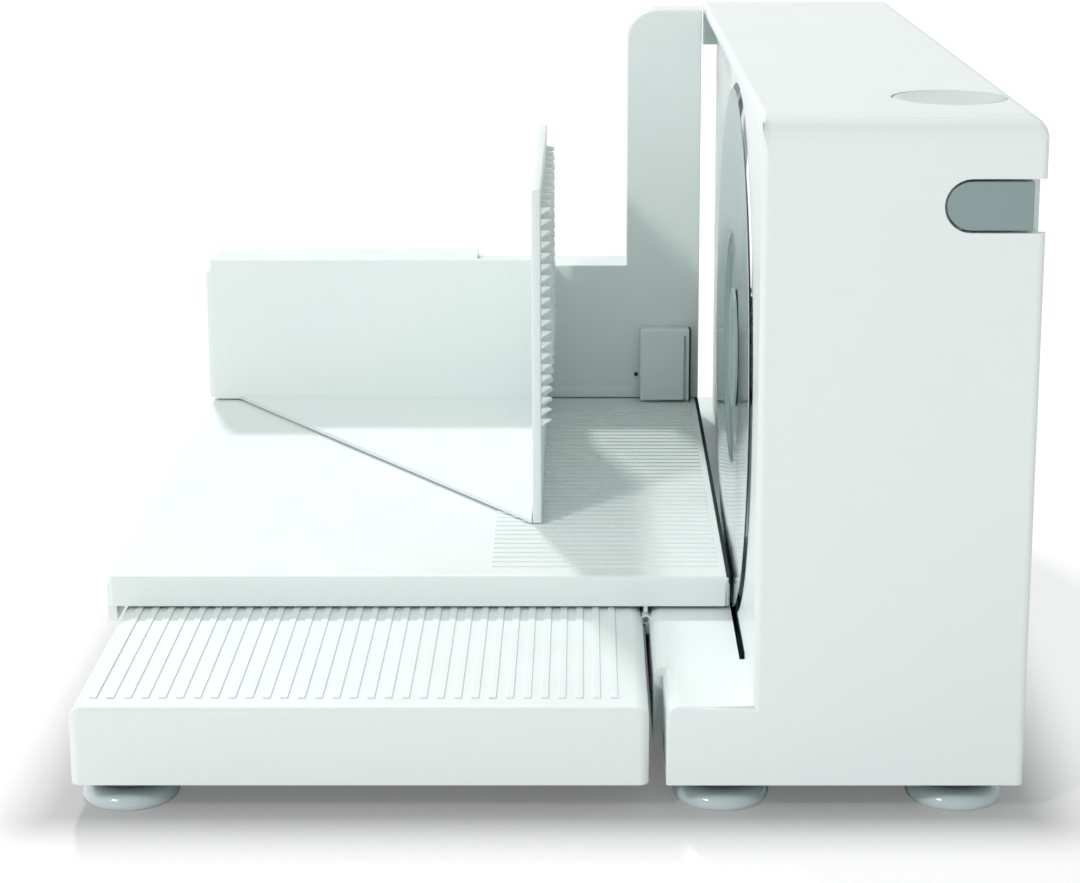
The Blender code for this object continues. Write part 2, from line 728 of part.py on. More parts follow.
def groove_start():
    """Near end of the shoe's groove, just behind the near hinge."""
    start, lug, middle = hinge_stations()[0]
    return start + 2 * lug + middle + 4 * GAP


def knuckle(name, start, length, side):
    """Lug with a round end on the hinge axis and an arm to its own base half: side +1 right, -1 left."""
    rise = HINGE_ARM_RISE if side > 0 else 0
    meets = 180 - math.degrees(math.asin(rise / HINGE_KNUCKLE_RADIUS))
    points = [(-HINGE_ARM_REACH, -HINGE_ARM_DROP), (0, -HINGE_ARM_DROP)]
    points += arc((0, 0), HINGE_KNUCKLE_RADIUS, -90, meets, 10)
    points += [(-HINGE_ARM_REACH, rise)]
    outline = [(SEAM_X - side * x, HINGE_Z + z) for x, z in points]
    return prism(name, "Y", outline, start, start + length)


def outer_lugs(station):
    """Places of the two lugs that belong to the right base."""
    start, lug, middle = station
    return (start, lug), (start + lug + middle + 2 * GAP, lug)


def middle_lug(station):
    """Place of the lug that belongs to the left base."""
    start, lug, middle = station
    return start + lug + 1.5 * GAP, middle - GAP


def hinge_pocket(name, station):
    """Round room for the knuckles of one hinge."""
    start, lug, middle = station
    length = 2 * lug + middle + 4 * GAP
    return rod(name, "Y", (SEAM_X, start - GAP + length / 2, HINGE_Z), HINGE_KNUCKLE_RADIUS + GAP, length,
               sides=SMALL_SIDES)


def pin_hole(name, start, length):
    """Bore for a hinge pin through one lug."""
    return rod(name, "Y", (SEAM_X, start + length / 2, HINGE_Z), HINGE_PIN_RADIUS + RUNNING_GAP,
               length + 4 * GAP, sides=SMALL_SIDES)


def screw_bosses():
    """Bosses in the near block's corners that the side cover screws to."""
    right = HOUSE_WIDTH - COVER_THICKNESS - GAP
    low = BASE_HEIGHT + COVER_SILL + SCREW_BOSS_RADIUS / 2
    high = COVER_TOP - SCREW_BOSS_RADIUS / 2
    ends = (WALL + SCREW_BOSS_RADIUS / 2, NEAR_DEPTH - WALL - SCREW_BOSS_RADIUS / 2)
    middle = (CAVITY_LEFT + right) / 2
    return [
        rod(f"screw_boss_{a}_{b}", "X", (middle, y, z), SCREW_BOSS_RADIUS,
            right - CAVITY_LEFT + 2 * GAP, sides=SMALL_SIDES)
        for a, y in enumerate(ends)
        for b, z in enumerate((low, high))
        if (a, b) != (0, 1)
    ]


def control_cutters():
    """Button hole, paddle notch with its pivot sockets, knob hole, rack slot and cord inlet."""
    notch_middle = NOTCH_BOTTOM + NOTCH_HEIGHT / 2
    end_radius = NOTCH_HEIGHT / 2
    outline = [(HOUSE_WIDTH + OVERRUN, NOTCH_BOTTOM), (HOUSE_WIDTH + OVERRUN, NOTCH_BOTTOM + NOTCH_HEIGHT)]
    outline += arc((NOTCH_LEFT + end_radius, notch_middle), end_radius, 90, 270, 14)
    rack_slot_low = RACK_Z - RACK_MODULE - RACK_HEIGHT - GAP
    return (
        rod("button_hole", "Z", (BUTTON_X, BUTTON_Y, BODY_HEIGHT), BUTTON_RADIUS + GAP,
            2 * (ROOF_SKIN + OVERRUN), sides=FINE_SIDES),
        prism("paddle_notch", "Y", outline, -OVERRUN, NOTCH_DEPTH),
        rod("pivot_sockets", "Z", (PADDLE_PIVOT_X, PADDLE_THICKNESS / 2 + PADDLE_GAP, notch_middle),
            PADDLE_PIVOT_RADIUS + RUNNING_GAP, NOTCH_HEIGHT + 2 * PADDLE_PIVOT_LENGTH, sides=SMALL_SIDES),
        rod("knob_hole", "Y", (KNOB_X, BODY_DEPTH, KNOB_Z), KNOB_SHAFT_RADIUS + RUNNING_GAP,
            4 * WALL, sides=SMALL_SIDES),
        box("rack_slot", (POST_X - OVERRUN, RACK_NEAR - GAP, rack_slot_low),
            (POST_X + WALL + OVERRUN, RACK_FAR + GAP, RACK_Z + RACK_MODULE + GAP)),
        rod("cord_inlet", "X", (HOUSE_WIDTH, GLAND_Y, BASE_HEIGHT / 2), GLAND_RADIUS + GAP,
            4 * WALL, sides=SMALL_SIDES),
    )


def notch_backing():
    """Wall behind the paddle's notch, inside the near block."""
    return box("notch_backing", (NOTCH_LEFT - WALL, WALL / 2, NOTCH_BOTTOM - WALL),
               (CAVITY_RIGHT + GAP, NOTCH_DEPTH + WALL, NOTCH_BOTTOM + NOTCH_HEIGHT + WALL))


def body_shell():
    """Moulding of base, housing, roof beam and post with its hollows and openings."""
    shell = housing_block()
    fuse(shell, *right_base())
    cut(shell, *slice_exit_cutters())
    cut(shell, *hollow_cutters())
    bush_boss = rod("bush_boss", "X", ((RECESS_DEPTH + WALL / 2 + BUSH_END_X) / 2, BLADE_Y, BLADE_Z),
                    BUSH_BOSS_RADIUS, BUSH_END_X - RECESS_DEPTH - WALL / 2)
    fuse(shell, notch_backing(), bush_boss, *screw_bosses())
    cut(shell, *blade_cutters())
    bush_hole = rod("bush_hole", "X", (BUSH_END_X / 2, BLADE_Y, BLADE_Z), BUSH_RADIUS + GAP, 2 * BUSH_END_X)
    groove = box("shoe_groove",
                 (RIGHT_BASE_LEFT - OVERRUN, groove_start(), shoe_bottom() - GAP),
                 (SEAM_X + SHOE_WIDTH / 2 + SHOE_FOOT_REACH + GAP, POST_NEAR + WALL * 5,
                  shoe_bottom() + SHOE_FOOT_HEIGHT + GAP))
    cut(shell, bush_hole, groove, *control_cutters())
    for number, station in enumerate(hinge_stations()):
        start, length = middle_lug(station)
        slot = box(f"lug_slot_{number}", (SEAM_X, start - GAP, HINGE_Z),
                   (SEAM_X + HINGE_KNUCKLE_RADIUS + GAP, start + length + GAP, BASE_HEIGHT + OVERRUN))
        cut(shell, hinge_pocket(f"shell_pocket_{number}", station), slot)
        for side_number, (lug_start, lug_length) in enumerate(outer_lugs(station)):
            fuse(shell, knuckle(f"right_lug_{number}_{side_number}", lug_start, lug_length, 1))
            cut(shell, pin_hole(f"right_pin_hole_{number}_{side_number}", lug_start, lug_length))
    return shell


def shoe_bottom():
    """Underside of the guide shoe in the seam."""
    return HINGE_Z + HINGE_PIN_RADIUS / 2 - SHOE_HEIGHT


def side_cover():
    """Flat cover over the motor room, inside the near block's rim."""
    low = BASE_HEIGHT + COVER_SILL + GAP
    item = box("side_cover", (HOUSE_WIDTH - COVER_THICKNESS, WALL + GAP, low),
               (HOUSE_WIDTH, NEAR_DEPTH - WALL - GAP, COVER_TOP - GAP), "white_plastic")
    notch = box("cover_notch", (HOUSE_WIDTH - 2 * COVER_THICKNESS, 0, NOTCH_BOTTOM - WALL - GAP),
                (HOUSE_WIDTH + OVERRUN, NOTCH_DEPTH + WALL + GAP, COVER_TOP))
    vents = repeat(box("cover_vents", (HOUSE_WIDTH - 2 * COVER_THICKNESS, MOTOR_Y - BOTTOM_VENT_LENGTH / 2,
                                       MOTOR_BOTTOM_Z + MOTOR_LENGTH / 2),
                       (HOUSE_WIDTH + OVERRUN, MOTOR_Y + BOTTOM_VENT_LENGTH / 2,
                        MOTOR_BOTTOM_Z + MOTOR_LENGTH / 2 + BOTTOM_VENT_WIDTH)),
                   BOTTOM_VENT_COUNT, (0, 0, BOTTOM_VENT_PITCH))
    return cut(item, notch, vents)


def post_cover():
    """Cover over the knob's gear in the far post."""
    low = BASE_HEIGHT + COVER_SILL + GAP
    return box("post_cover", (HOUSE_WIDTH - COVER_THICKNESS, POST_NEAR + WALL + GAP, low),
               (HOUSE_WIDTH, BODY_DEPTH - WALL - GAP, COVER_TOP - GAP), "white_plastic")


def bottom_plate():
    """Plate that closes the base from below, with vents under the motor."""
    left = FRONT_LEFT + WALL + GAP
    item = box("bottom_plate", (left, WALL + GAP, 0),
               (CAVITY_RIGHT - GAP, BODY_DEPTH - WALL - GAP, BOTTOM_THICKNESS), "grey_plastic")
    first = WHEEL_X - BOTTOM_VENT_PITCH * (BOTTOM_VENT_COUNT - 1) / 2
    vents = repeat(box("bottom_vents", (first, MOTOR_Y - BOTTOM_VENT_LENGTH / 2, -OVERRUN),
                       (first + BOTTOM_VENT_WIDTH, MOTOR_Y + BOTTOM_VENT_LENGTH / 2,
                        BOTTOM_THICKNESS + OVERRUN)),
                   BOTTOM_VENT_COUNT, (BOTTOM_VENT_PITCH, 0, 0))
    return cut(item, vents)


def hinge_pins():
    """Steel pins of the two hinges."""
    pins = []
    for name, (start, lug, middle) in zip(("hinge_pin_near", "hinge_pin_far"), hinge_stations()):
        length = 2 * lug + middle + 2 * GAP
        pins.append(rod(name, "Y", (SEAM_X, start + length / 2, HINGE_Z), HINGE_PIN_RADIUS, length,
                        "shaft_steel", SMALL_SIDES))
    return pins


def foot(name, x, y):
    """Suction foot: neck, flared cup and the hollow below it."""
    top = -GAP
    floor = -FOOT_HEIGHT
    outer = [
        (0, top), (FOOT_NECK_RADIUS, top), (FOOT_NECK_RADIUS, top - FOOT_HEIGHT * 0.34),
        (FOOT_RADIUS * 0.86, top - FOOT_HEIGHT * 0.48), (FOOT_RADIUS, floor + FOOT_LIP),
        (FOOT_RADIUS - FOOT_LIP / 2, floor), (FOOT_RADIUS - 2 * FOOT_LIP, floor),
        (FOOT_NECK_RADIUS * 0.6, floor + 2 * FOOT_LIP), (0, floor + 2 * FOOT_LIP),
    ]
    return turned(name, "Z", (x, y, 0), outer, "foot_rubber", 24)


def foot_places(x):
    """The near and the far foot of one row."""
    return ((x, FOOT_FROM_END), (x, BODY_DEPTH - FOOT_FROM_END))


def cord_gland():
    """Grommet of the mains inlet, low on the right wall."""
    inner = HOUSE_WIDTH - WALL - GLAND_FLANGE
    outer = HOUSE_WIDTH + GAP + GLAND_FLANGE
    profile = [
        (GLAND_BORE, 0), (GLAND_BORE, outer - inner), (GLAND_FLANGE_RADIUS - GLAND_FLANGE / 2, outer - inner),
        (GLAND_FLANGE_RADIUS, outer - inner - GLAND_FLANGE), (GLAND_RADIUS, outer - inner - GLAND_FLANGE),
        (GLAND_RADIUS, 0),
    ]
    return turned("cord_gland", "X", (inner, GLAND_Y, BASE_HEIGHT / 2), profile, "grey_plastic", SMALL_SIDES)


# Folding left base
def left_panel():
    """Folding half of the base: ribbed top, hollow ribbed underside and hinge lugs."""
    item = box("left_panel", (LEFT_BASE_LEFT, 0, 0), (LEFT_BASE_RIGHT, BODY_DEPTH, BASE_HEIGHT),
               "table_plastic")
    round_edges(item, [
        (lambda mid, way: near(mid.z, BASE_HEIGHT) and abs(way.y) > WALL, BASE_ROUND),
        (lambda mid, way: near(mid.z, BASE_HEIGHT) and abs(way.x) > WALL, BASE_ROUND * 0.75),
        (lambda mid, way: abs(way.z) > WALL, BASE_ROUND * 0.75),
    ])
    bays = STIFFENER_COUNT + 1
    inner_low = Vector((LEFT_BASE_LEFT + WALL, WALL, -OVERRUN))
    inner_far = BODY_DEPTH - WALL
    pitch = (inner_far - WALL + STIFFENER_WIDTH) / bays
    hollow = repeat(box("left_hollow", inner_low,
                        (LEFT_BASE_RIGHT - 2 * WALL, WALL + pitch - STIFFENER_WIDTH, BASE_HEIGHT - WALL)),
                    bays, (0, pitch, 0))
    cut(item, hollow)
    for number, (x, y) in enumerate(foot_places(LEFT_FOOT_X)):
        boss = rod(f"left_foot_boss_{number}", "Z", (x, y, (BASE_HEIGHT - WALL / 2) / 2), FOOT_BOSS_RADIUS,
                   BASE_HEIGHT - WALL / 2, sides=SMALL_SIDES)
        fuse(item, boss)
    rib_near = RIB_END_MARGIN
    rib = box("panel_ribs", (LEFT_BASE_LEFT + RIB_PITCH, rib_near, BASE_HEIGHT - WALL / 2),
              (LEFT_BASE_LEFT + RIB_PITCH + RIB_WIDTH, BODY_DEPTH - rib_near, BASE_HEIGHT + RIB_HEIGHT))
    fuse(item, repeat(rib, RIB_COUNT, (RIB_PITCH, 0, 0)))
    for number, station in enumerate(hinge_stations()):
        cut(item, hinge_pocket(f"panel_pocket_{number}", station))
        start, length = middle_lug(station)
        fuse(item, knuckle(f"left_lug_{number}", start, length, -1))
        cut(item, pin_hole(f"left_pin_hole_{number}", start, length))
    return item


# Carriage
def guide_shoe():
    """Captive runner in the seam, its foot in the groove of the right base."""
    far = WALL_FAR - SHOE_FAR_MARGIN
    low = shoe_bottom()
    item = box("guide_shoe", (SEAM_X - SHOE_WIDTH / 2, far - SHOE_LENGTH, low),
               (SEAM_X + SHOE_WIDTH / 2, far, low + SHOE_HEIGHT), "grey_plastic")
    shoe_foot = box("shoe_foot", (SEAM_X, far - SHOE_LENGTH, low),
                    (SEAM_X + SHOE_WIDTH / 2 + SHOE_FOOT_REACH, far, low + SHOE_FOOT_HEIGHT))
    return fuse(item, shoe_foot)


def carriage_table():
    """Food table: thin top with skirts, a hanging left skirt, fine ribs, skids and seam ribs."""
    far = WALL_FAR
    item = box("carriage_table", (CARRIAGE_LEFT, CARRIAGE_NEAR, CARRIAGE_BOTTOM),
               (TABLE_RIGHT, far, CARRIAGE_TOP), "table_plastic")
    round_edges(item, [
        (lambda mid, way: near(mid.z, CARRIAGE_TOP) and near(mid.y, CARRIAGE_NEAR), TABLE_ROUND),
        (lambda mid, way: near(mid.z, CARRIAGE_TOP) and near(mid.x, CARRIAGE_LEFT), TABLE_ROUND),
        (lambda mid, way: abs(way.z) > WALL and near(mid.y, CARRIAGE_NEAR), TABLE_ROUND),
    ])
    hollow = box("table_hollow",
                 (CARRIAGE_LEFT + SKIRT_THICKNESS, CARRIAGE_NEAR + SKIRT_THICKNESS, CARRIAGE_BOTTOM - OVERRUN),
                 (TABLE_RIGHT - SKIRT_THICKNESS, far - SKIRT_THICKNESS, CARRIAGE_TOP - TABLE_SKIN))
    cut(item, hollow)
    skirt = box("hanging_skirt", (CARRIAGE_LEFT - SKIRT_OUT, CARRIAGE_NEAR + 2 * TABLE_ROUND,
                                  CARRIAGE_BOTTOM - SKIRT_DROP),
                (CARRIAGE_LEFT - SKIRT_OUT + SKIRT_THICKNESS, far - OVERRUN, CARRIAGE_TOP - 2 * TABLE_ROUND))
    skid_x = LEFT_BASE_LEFT + LEFT_BASE_WIDTH / 2
    rest = BASE_HEIGHT + RIB_HEIGHT + GAP
    skids = [
        box(f"skid_{number}", (x, CARRIAGE_NEAR + SKIRT_THICKNESS / 2, rest),
            (x + SKID_WIDTH, far - SKIRT_THICKNESS / 2, CARRIAGE_TOP - TABLE_SKIN / 2))
        for number, x in enumerate((LEFT_BASE_LEFT + 2 * SKID_WIDTH, skid_x,
                                    LEFT_BASE_RIGHT - 3 * SKID_WIDTH))
    ]
    shoe_far = far - SHOE_FAR_MARGIN
    seam_rib = box("seam_rib", (SEAM_X - SEAM_RIB_WIDTH / 2, shoe_far - SHOE_LENGTH,
                                BASE_HEIGHT - SEAM_RIB_DEPTH),
                   (SEAM_X + SEAM_RIB_WIDTH / 2, shoe_far, CARRIAGE_TOP - TABLE_SKIN / 2))
    hook = box("seam_hook", (SEAM_X - SEAM_RIB_WIDTH / 2, CARRIAGE_NEAR + SKIRT_THICKNESS / 3,
                             BASE_HEIGHT - HOOK_DEPTH),
               (SEAM_X + SEAM_RIB_WIDTH / 2, CARRIAGE_NEAR + SKIRT_THICKNESS / 3 + HOOK_LENGTH,
                CARRIAGE_TOP - TABLE_SKIN / 2))
    fuse(item, skirt, seam_rib, hook, *skids)
    rib_near = CARRIAGE_NEAR + 2 * TABLE_RIB_PITCH
    rib = box("table_ribs", (TABLE_RIGHT - TABLE_RIB_MARGIN - TABLE_RIB_LENGTH, rib_near,
                             CARRIAGE_TOP - TABLE_SKIN / 2),
              (TABLE_RIGHT - TABLE_RIB_MARGIN, rib_near + TABLE_RIB_WIDTH,
               CARRIAGE_TOP + TABLE_RIB_HEIGHT))
    return fuse(item, repeat(rib, table_rib_count(), (0, TABLE_RIB_PITCH, 0)))


def table_rib_count():
    """Ribs that fit between the table's near edge and the wall."""
    room = WALL_NEAR - CATCH_OUT - CARRIAGE_NEAR - 3 * TABLE_RIB_PITCH
    return min(TABLE_RIB_COUNT, int(room / TABLE_RIB_PITCH))


def wall_outline(inset):
    """Low wall and high hand guard as one outline, drawn in by an inset."""
    high_round = WALL_HIGH_ROUND - inset
    left, right = WALL_LEFT + inset, WALL_RIGHT - inset
    bottom = TABLE_REST - TABLE_RIB_HEIGHT + inset
    low_top, high_top = WALL_LOW_TOP - inset, WALL_HIGH_TOP - inset
    step = WALL_STEP_X + inset
    points = [(left, bottom), (right, bottom), (right, high_top)]
    points += arc((step + high_round, high_top - high_round), high_round, 90, 180, 6)
    points += [(step, low_top), (left + WALL_LOW_CHAMFER, low_top), (left, low_top - WALL_LOW_CHAMFER)]
    return points


def carriage_wall():
    """Wall and hand guard across the table, open at the back, with a rib at the step."""
    item = prism("carriage_wall", "Y", wall_outline(0), WALL_NEAR, WALL_FAR, "white_plastic")
    hollow = prism("wall_hollow", "Y", wall_outline(WALL_SKIN), WALL_NEAR + WALL_SKIN, WALL_FAR + OVERRUN)
    cut(item, hollow)
    stiffener = box("wall_stiffener", (WALL_STEP_X, WALL_NEAR + WALL_SKIN / 2, CARRIAGE_TOP + WALL_SKIN),
                    (WALL_STEP_X + STIFFENER_WIDTH, WALL_FAR - WALL_SKIN, WALL_HIGH_TOP - 2 * WALL_HIGH_ROUND))
    return fuse(item, stiffener)


def catch_block():
    """Block on the hand guard's foot that stops the food holder, with its slot."""
    low = TABLE_REST
    item = box("catch_block", (CATCH_LEFT, WALL_NEAR - CATCH_OUT, low),
               (CATCH_LEFT + CATCH_WIDTH, WALL_NEAR - GAP, low + CATCH_HEIGHT), "white_plastic")
    bevel(item, CATCH_LEDGE / 2)
    slot = box("catch_slot", (CATCH_LEFT + CATCH_WIDTH - 2 * CATCH_LEDGE, WALL_NEAR - CATCH_OUT - OVERRUN, low - OVERRUN),
               (CATCH_LEFT + CATCH_WIDTH - CATCH_LEDGE, WALL_NEAR - CATCH_OUT + 2 * CATCH_LEDGE,
                low + CATCH_HEIGHT - 2 * CATCH_LEDGE))
    return cut(item, slot)


# Food holder
def holder_frame():
    """Back plate, hook over the wall and the three-cornered foot on the table."""
    near_face = HOLDER_FAR - HOLDER_THICKNESS
    item = box("holder_frame", (HOLDER_LEFT, near_face, TABLE_REST),
               (HOLDER_RIGHT - TOOTH_PLATE_THICKNESS - GAP, HOLDER_FAR, HOLDER_TOP), "table_plastic")
    low = WALL_LOW_TOP + GAP
    far = WALL_FAR + GAP + HOLDER_THICKNESS
    hook_outline = [
        (near_face, low), (WALL_FAR + GAP, low), (WALL_FAR + GAP, low - HOOK_LIP_DROP), (far, low - HOOK_LIP_DROP),
        (far, low + HOOK_FLANGE_THICKNESS - HOOK_CHAMFER / 2), (far - HOOK_CHAMFER / 2, low + HOOK_FLANGE_THICKNESS),
        (near_face, low + HOOK_FLANGE_THICKNESS),
    ]
    flange = prism("hook_flange", "X", hook_outline, HOOK_FLANGE_LEFT, HOOK_FLANGE_RIGHT)
    foot_outline = [
        (HOLDER_LEFT, near_face + HOLDER_THICKNESS / 2), (HOLDER_LEFT, near_face),
        (FOOT_PLATE_LEFT, near_face), (HOLDER_RIGHT - TOOTH_PLATE_THICKNESS - GAP, TOOTH_PLATE_NEAR),
        (HOLDER_RIGHT - TOOTH_PLATE_THICKNESS - GAP, near_face + HOLDER_THICKNESS / 2),
    ]
    plate = prism("foot_plate", "Z", foot_outline, TABLE_REST, TABLE_REST + FOOT_PLATE_THICKNESS)
    return fuse(item, flange, plate)


def tooth_plate():
    """Plate with rows of saw teeth that hold the food against the blade."""
    left = HOLDER_RIGHT - TOOTH_PLATE_THICKNESS
    low = TABLE_REST
    item = box("tooth_plate", (left, TOOTH_PLATE_NEAR, low), (HOLDER_RIGHT, HOLDER_FAR, TOOTH_PLATE_TOP),
               "table_plastic")
    top = TOOTH_PLATE_TOP - TOOTH_ROW_TOP_MARGIN
    valley = HOLDER_RIGHT + GAP
    end = top - TOOTH_ROWS * TOOTH_PITCH
    saw = [(HOLDER_RIGHT - TOOTH_PLATE_THICKNESS / 2, top)]
    for row in range(TOOTH_ROWS):
        high = top - row * TOOTH_PITCH
        saw += [(valley, high), (HOLDER_RIGHT + TOOTH_LENGTH, high - TOOTH_PITCH / 2)]
    saw += [(valley, end), (HOLDER_RIGHT - TOOTH_PLATE_THICKNESS / 2, end)]
    teeth = prism("saw_rows", "Y", saw, TOOTH_PLATE_NEAR + GAP, TOOTH_PLATE_NEAR + TOOTH_STRIP_DEPTH)
    fuse(item, teeth)
    radius = TOOTH_PLATE_ROUND
    corner = [(TOOTH_PLATE_NEAR - OVERRUN, TOOTH_PLATE_TOP + OVERRUN)]
    corner += [(TOOTH_PLATE_NEAR - OVERRUN, TOOTH_PLATE_TOP - radius)]
    corner += arc((TOOTH_PLATE_NEAR + radius, TOOTH_PLATE_TOP - radius), radius, 180, 90, 8)
    corner += [(TOOTH_PLATE_NEAR + radius, TOOTH_PLATE_TOP + OVERRUN)]
    rounding = prism("plate_corner", "X", corner, left - OVERRUN, HOLDER_RIGHT + TOOTH_LENGTH + OVERRUN)
    turn = TOOTH_PLATE_NEAR + TOOTH_PLATE_TOP_DEPTH
    fall = (TOOTH_PLATE_TOP - HOLDER_TOP) / (HOLDER_FAR - turn)
    back = [(turn - OVERRUN / fall, TOOTH_PLATE_TOP + OVERRUN),
            (HOLDER_FAR + OVERRUN, HOLDER_TOP - OVERRUN * fall),
            (HOLDER_FAR + OVERRUN, TOOTH_PLATE_TOP + OVERRUN)]
    slope = prism("plate_slope", "X", back, left - OVERRUN, HOLDER_RIGHT + TOOTH_LENGTH + OVERRUN)
    return cut(item, rounding, slope)


# Blade group
def blade_disc():
    """Dished blade with a ground bevel on the slice side."""
    right = BLADE_THICKNESS
    dish = BLADE_DISH_DEPTH
    profile = [
        (BLADE_BORE, dish), (BLADE_BORE, dish + right), (BLADE_DISH_RADIUS, dish + right),
        (BLADE_DISH_RADIUS + 2 * dish, right), (BLADE_RADIUS - BLADE_BEVEL, right),
        (BLADE_RADIUS, BLADE_THICKNESS / 6), (BLADE_RADIUS, 0),
        (BLADE_DISH_RADIUS + 2 * dish, 0), (BLADE_DISH_RADIUS, dish),
    ]
    return turned("blade_disc", "X", (BLADE_LEFT, BLADE_Y, BLADE_Z), profile, "blade_steel", FINE_SIDES)


def blade_carrier():
    """Flange behind the blade and the spindle through the bush."""
    start = BLADE_LEFT + BLADE_DISH_DEPTH + BLADE_THICKNESS + GAP
    end = WHEEL_X + WHEEL_HUB_WIDTH / 2 + 2 * BRACKET_THICKNESS
    profile = [
        (0, end - start), (SPINDLE_RADIUS, end - start), (SPINDLE_RADIUS, CARRIER_THICKNESS),
        (CARRIER_RADIUS, CARRIER_THICKNESS), (CARRIER_RADIUS, 0), (0, 0),
    ]
    return turned("blade_carrier", "X", (start, BLADE_Y, BLADE_Z), profile, "shaft_steel")


def spindle_clip():
    """Retaining collar on the spindle's end."""
    start = WHEEL_X + WHEEL_HUB_WIDTH / 2 + GAP
    profile = [
        (SPINDLE_RADIUS + RUNNING_GAP, 0), (SPINDLE_RADIUS + RUNNING_GAP, BRACKET_THICKNESS / 2),
        (BUSH_RADIUS, BRACKET_THICKNESS / 2), (BUSH_RADIUS, 0),
    ]
    return turned("spindle_clip", "X", (start, BLADE_Y, BLADE_Z), profile, "shaft_steel", SMALL_SIDES)


def centre_lock():
    """Turn lock in the blade's middle: thin cap with a raised grip and a stem in the bore."""
    face = BLADE_LEFT + BLADE_DISH_DEPTH - GAP
    item = rod("centre_lock", "X", (face - LOCK_THICKNESS / 2, BLADE_Y, BLADE_Z), LOCK_RADIUS,
               LOCK_THICKNESS, "grey_plastic")
    stem_end = BLADE_LEFT + BLADE_DISH_DEPTH + BLADE_THICKNESS
    stem = rod("lock_stem", "X", ((face - LOCK_THICKNESS / 2 + stem_end) / 2, BLADE_Y, BLADE_Z),
               LOCK_STEM_RADIUS, stem_end - face + LOCK_THICKNESS / 2)
    grip = box("lock_grip", (face - LOCK_THICKNESS - GAP, BLADE_Y - LOCK_GRIP_WIDTH / 2,
                             BLADE_Z - LOCK_GRIP_LENGTH / 2),
               (face - LOCK_THICKNESS / 2, BLADE_Y + LOCK_GRIP_WIDTH / 2, BLADE_Z + LOCK_GRIP_LENGTH / 2))
    return fuse(item, stem, grip)


def spindle_bush():
    """Sintered bush pressed in the housing's boss."""
    start = RECESS_DEPTH
    length = BUSH_END_X - RECESS_DEPTH
    inner = SPINDLE_RADIUS + RUNNING_GAP
    profile = [(inner, 0), (inner, length), (BUSH_RADIUS, length), (BUSH_RADIUS, 0)]
    return turned("spindle_bush", "X", (start, BLADE_Y, BLADE_Z), profile, "brass", SMALL_SIDES)


def gear_outline(teeth, root, tip, root_width, tip_width, phase):
    """Outline of straight-flanked teeth about a centre."""
    points = []
    for number in range(teeth):
        middle = phase + 2 * math.pi * number / teeth
        for radius, width in ((root, -root_width), (tip, -tip_width), (tip, tip_width), (root, root_width)):
            angle = middle + width / (2 * radius)
            points.append((radius * math.cos(angle), radius * math.sin(angle)))
    return points


def toothed_wheel(name, outline, axis, centre, width, look, twist=0, steps=1):
    """Toothed outline pulled along an axis, turning by the twist on the way."""

    def build(work):
        corners = [work.verts.new((x, y, -width / 2)) for x, y in outline]
        face = work.faces.new(corners)
        bmesh.ops.rotate(work, verts=corners, cent=(0, 0, 0), matrix=Matrix.Rotation(-twist / 2, 3, "Z"))
        bmesh.ops.spin(work, geom=[face], cent=(0, 0, 0), axis=(0, 0, 1), dvec=(0, 0, width / steps),
                       angle=twist, steps=steps, use_duplicate=False)
        bmesh.ops.remove_doubles(work, verts=work.verts, dist=MERGE)

    return add(name, mesh_of(name, build), centre, look, AXIS_TURN[axis])


def worm_wheel():
    """Helical wheel with rim, thin web and hub."""
    tip = WHEEL_PITCH_RADIUS + WHEEL_MODULE
    root = WHEEL_PITCH_RADIUS - WHEEL_MODULE * 1.25
    outline = gear_outline(WHEEL_TEETH, root, tip, TOOTH_ROOT_WIDTH, TOOTH_TIP_WIDTH, 0)
    lead_angle = math.atan(WORM_LEAD / (2 * math.pi * WORM_PITCH_RADIUS))
    twist = WHEEL_WIDTH * math.tan(lead_angle) / WHEEL_PITCH_RADIUS
    item = toothed_wheel("worm_wheel", outline, "X", (WHEEL_X, BLADE_Y, BLADE_Z), WHEEL_WIDTH,
                         "gear_plastic", twist)
    room = (WHEEL_WIDTH - WHEEL_WEB) / 2
    inner, outer = WHEEL_HUB_RADIUS, root - WHEEL_RIM
    for number, x in enumerate((WHEEL_X - WHEEL_WIDTH / 2, WHEEL_X + WHEEL_WIDTH / 2)):
        side = 1 if number else -1
        ring = turned(f"web_room_{number}", "X", (x + side * OVERRUN, BLADE_Y, BLADE_Z),
                      [(inner, -room - OVERRUN), (inner, room + OVERRUN), (outer, room + OVERRUN),
                       (outer, -room - OVERRUN)], sides=ROUND_SIDES)
        cut(item, ring)
    hub = rod("wheel_hub", "X", (WHEEL_X, BLADE_Y, BLADE_Z), WHEEL_HUB_RADIUS + GAP, WHEEL_HUB_WIDTH)
    fuse(item, hub)
    bore = rod("wheel_bore", "X", (WHEEL_X, BLADE_Y, BLADE_Z), SPINDLE_RADIUS + RUNNING_GAP, 2 * WHEEL_HUB_WIDTH,
               sides=ROUND_SIDES)
    return cut(item, bore)


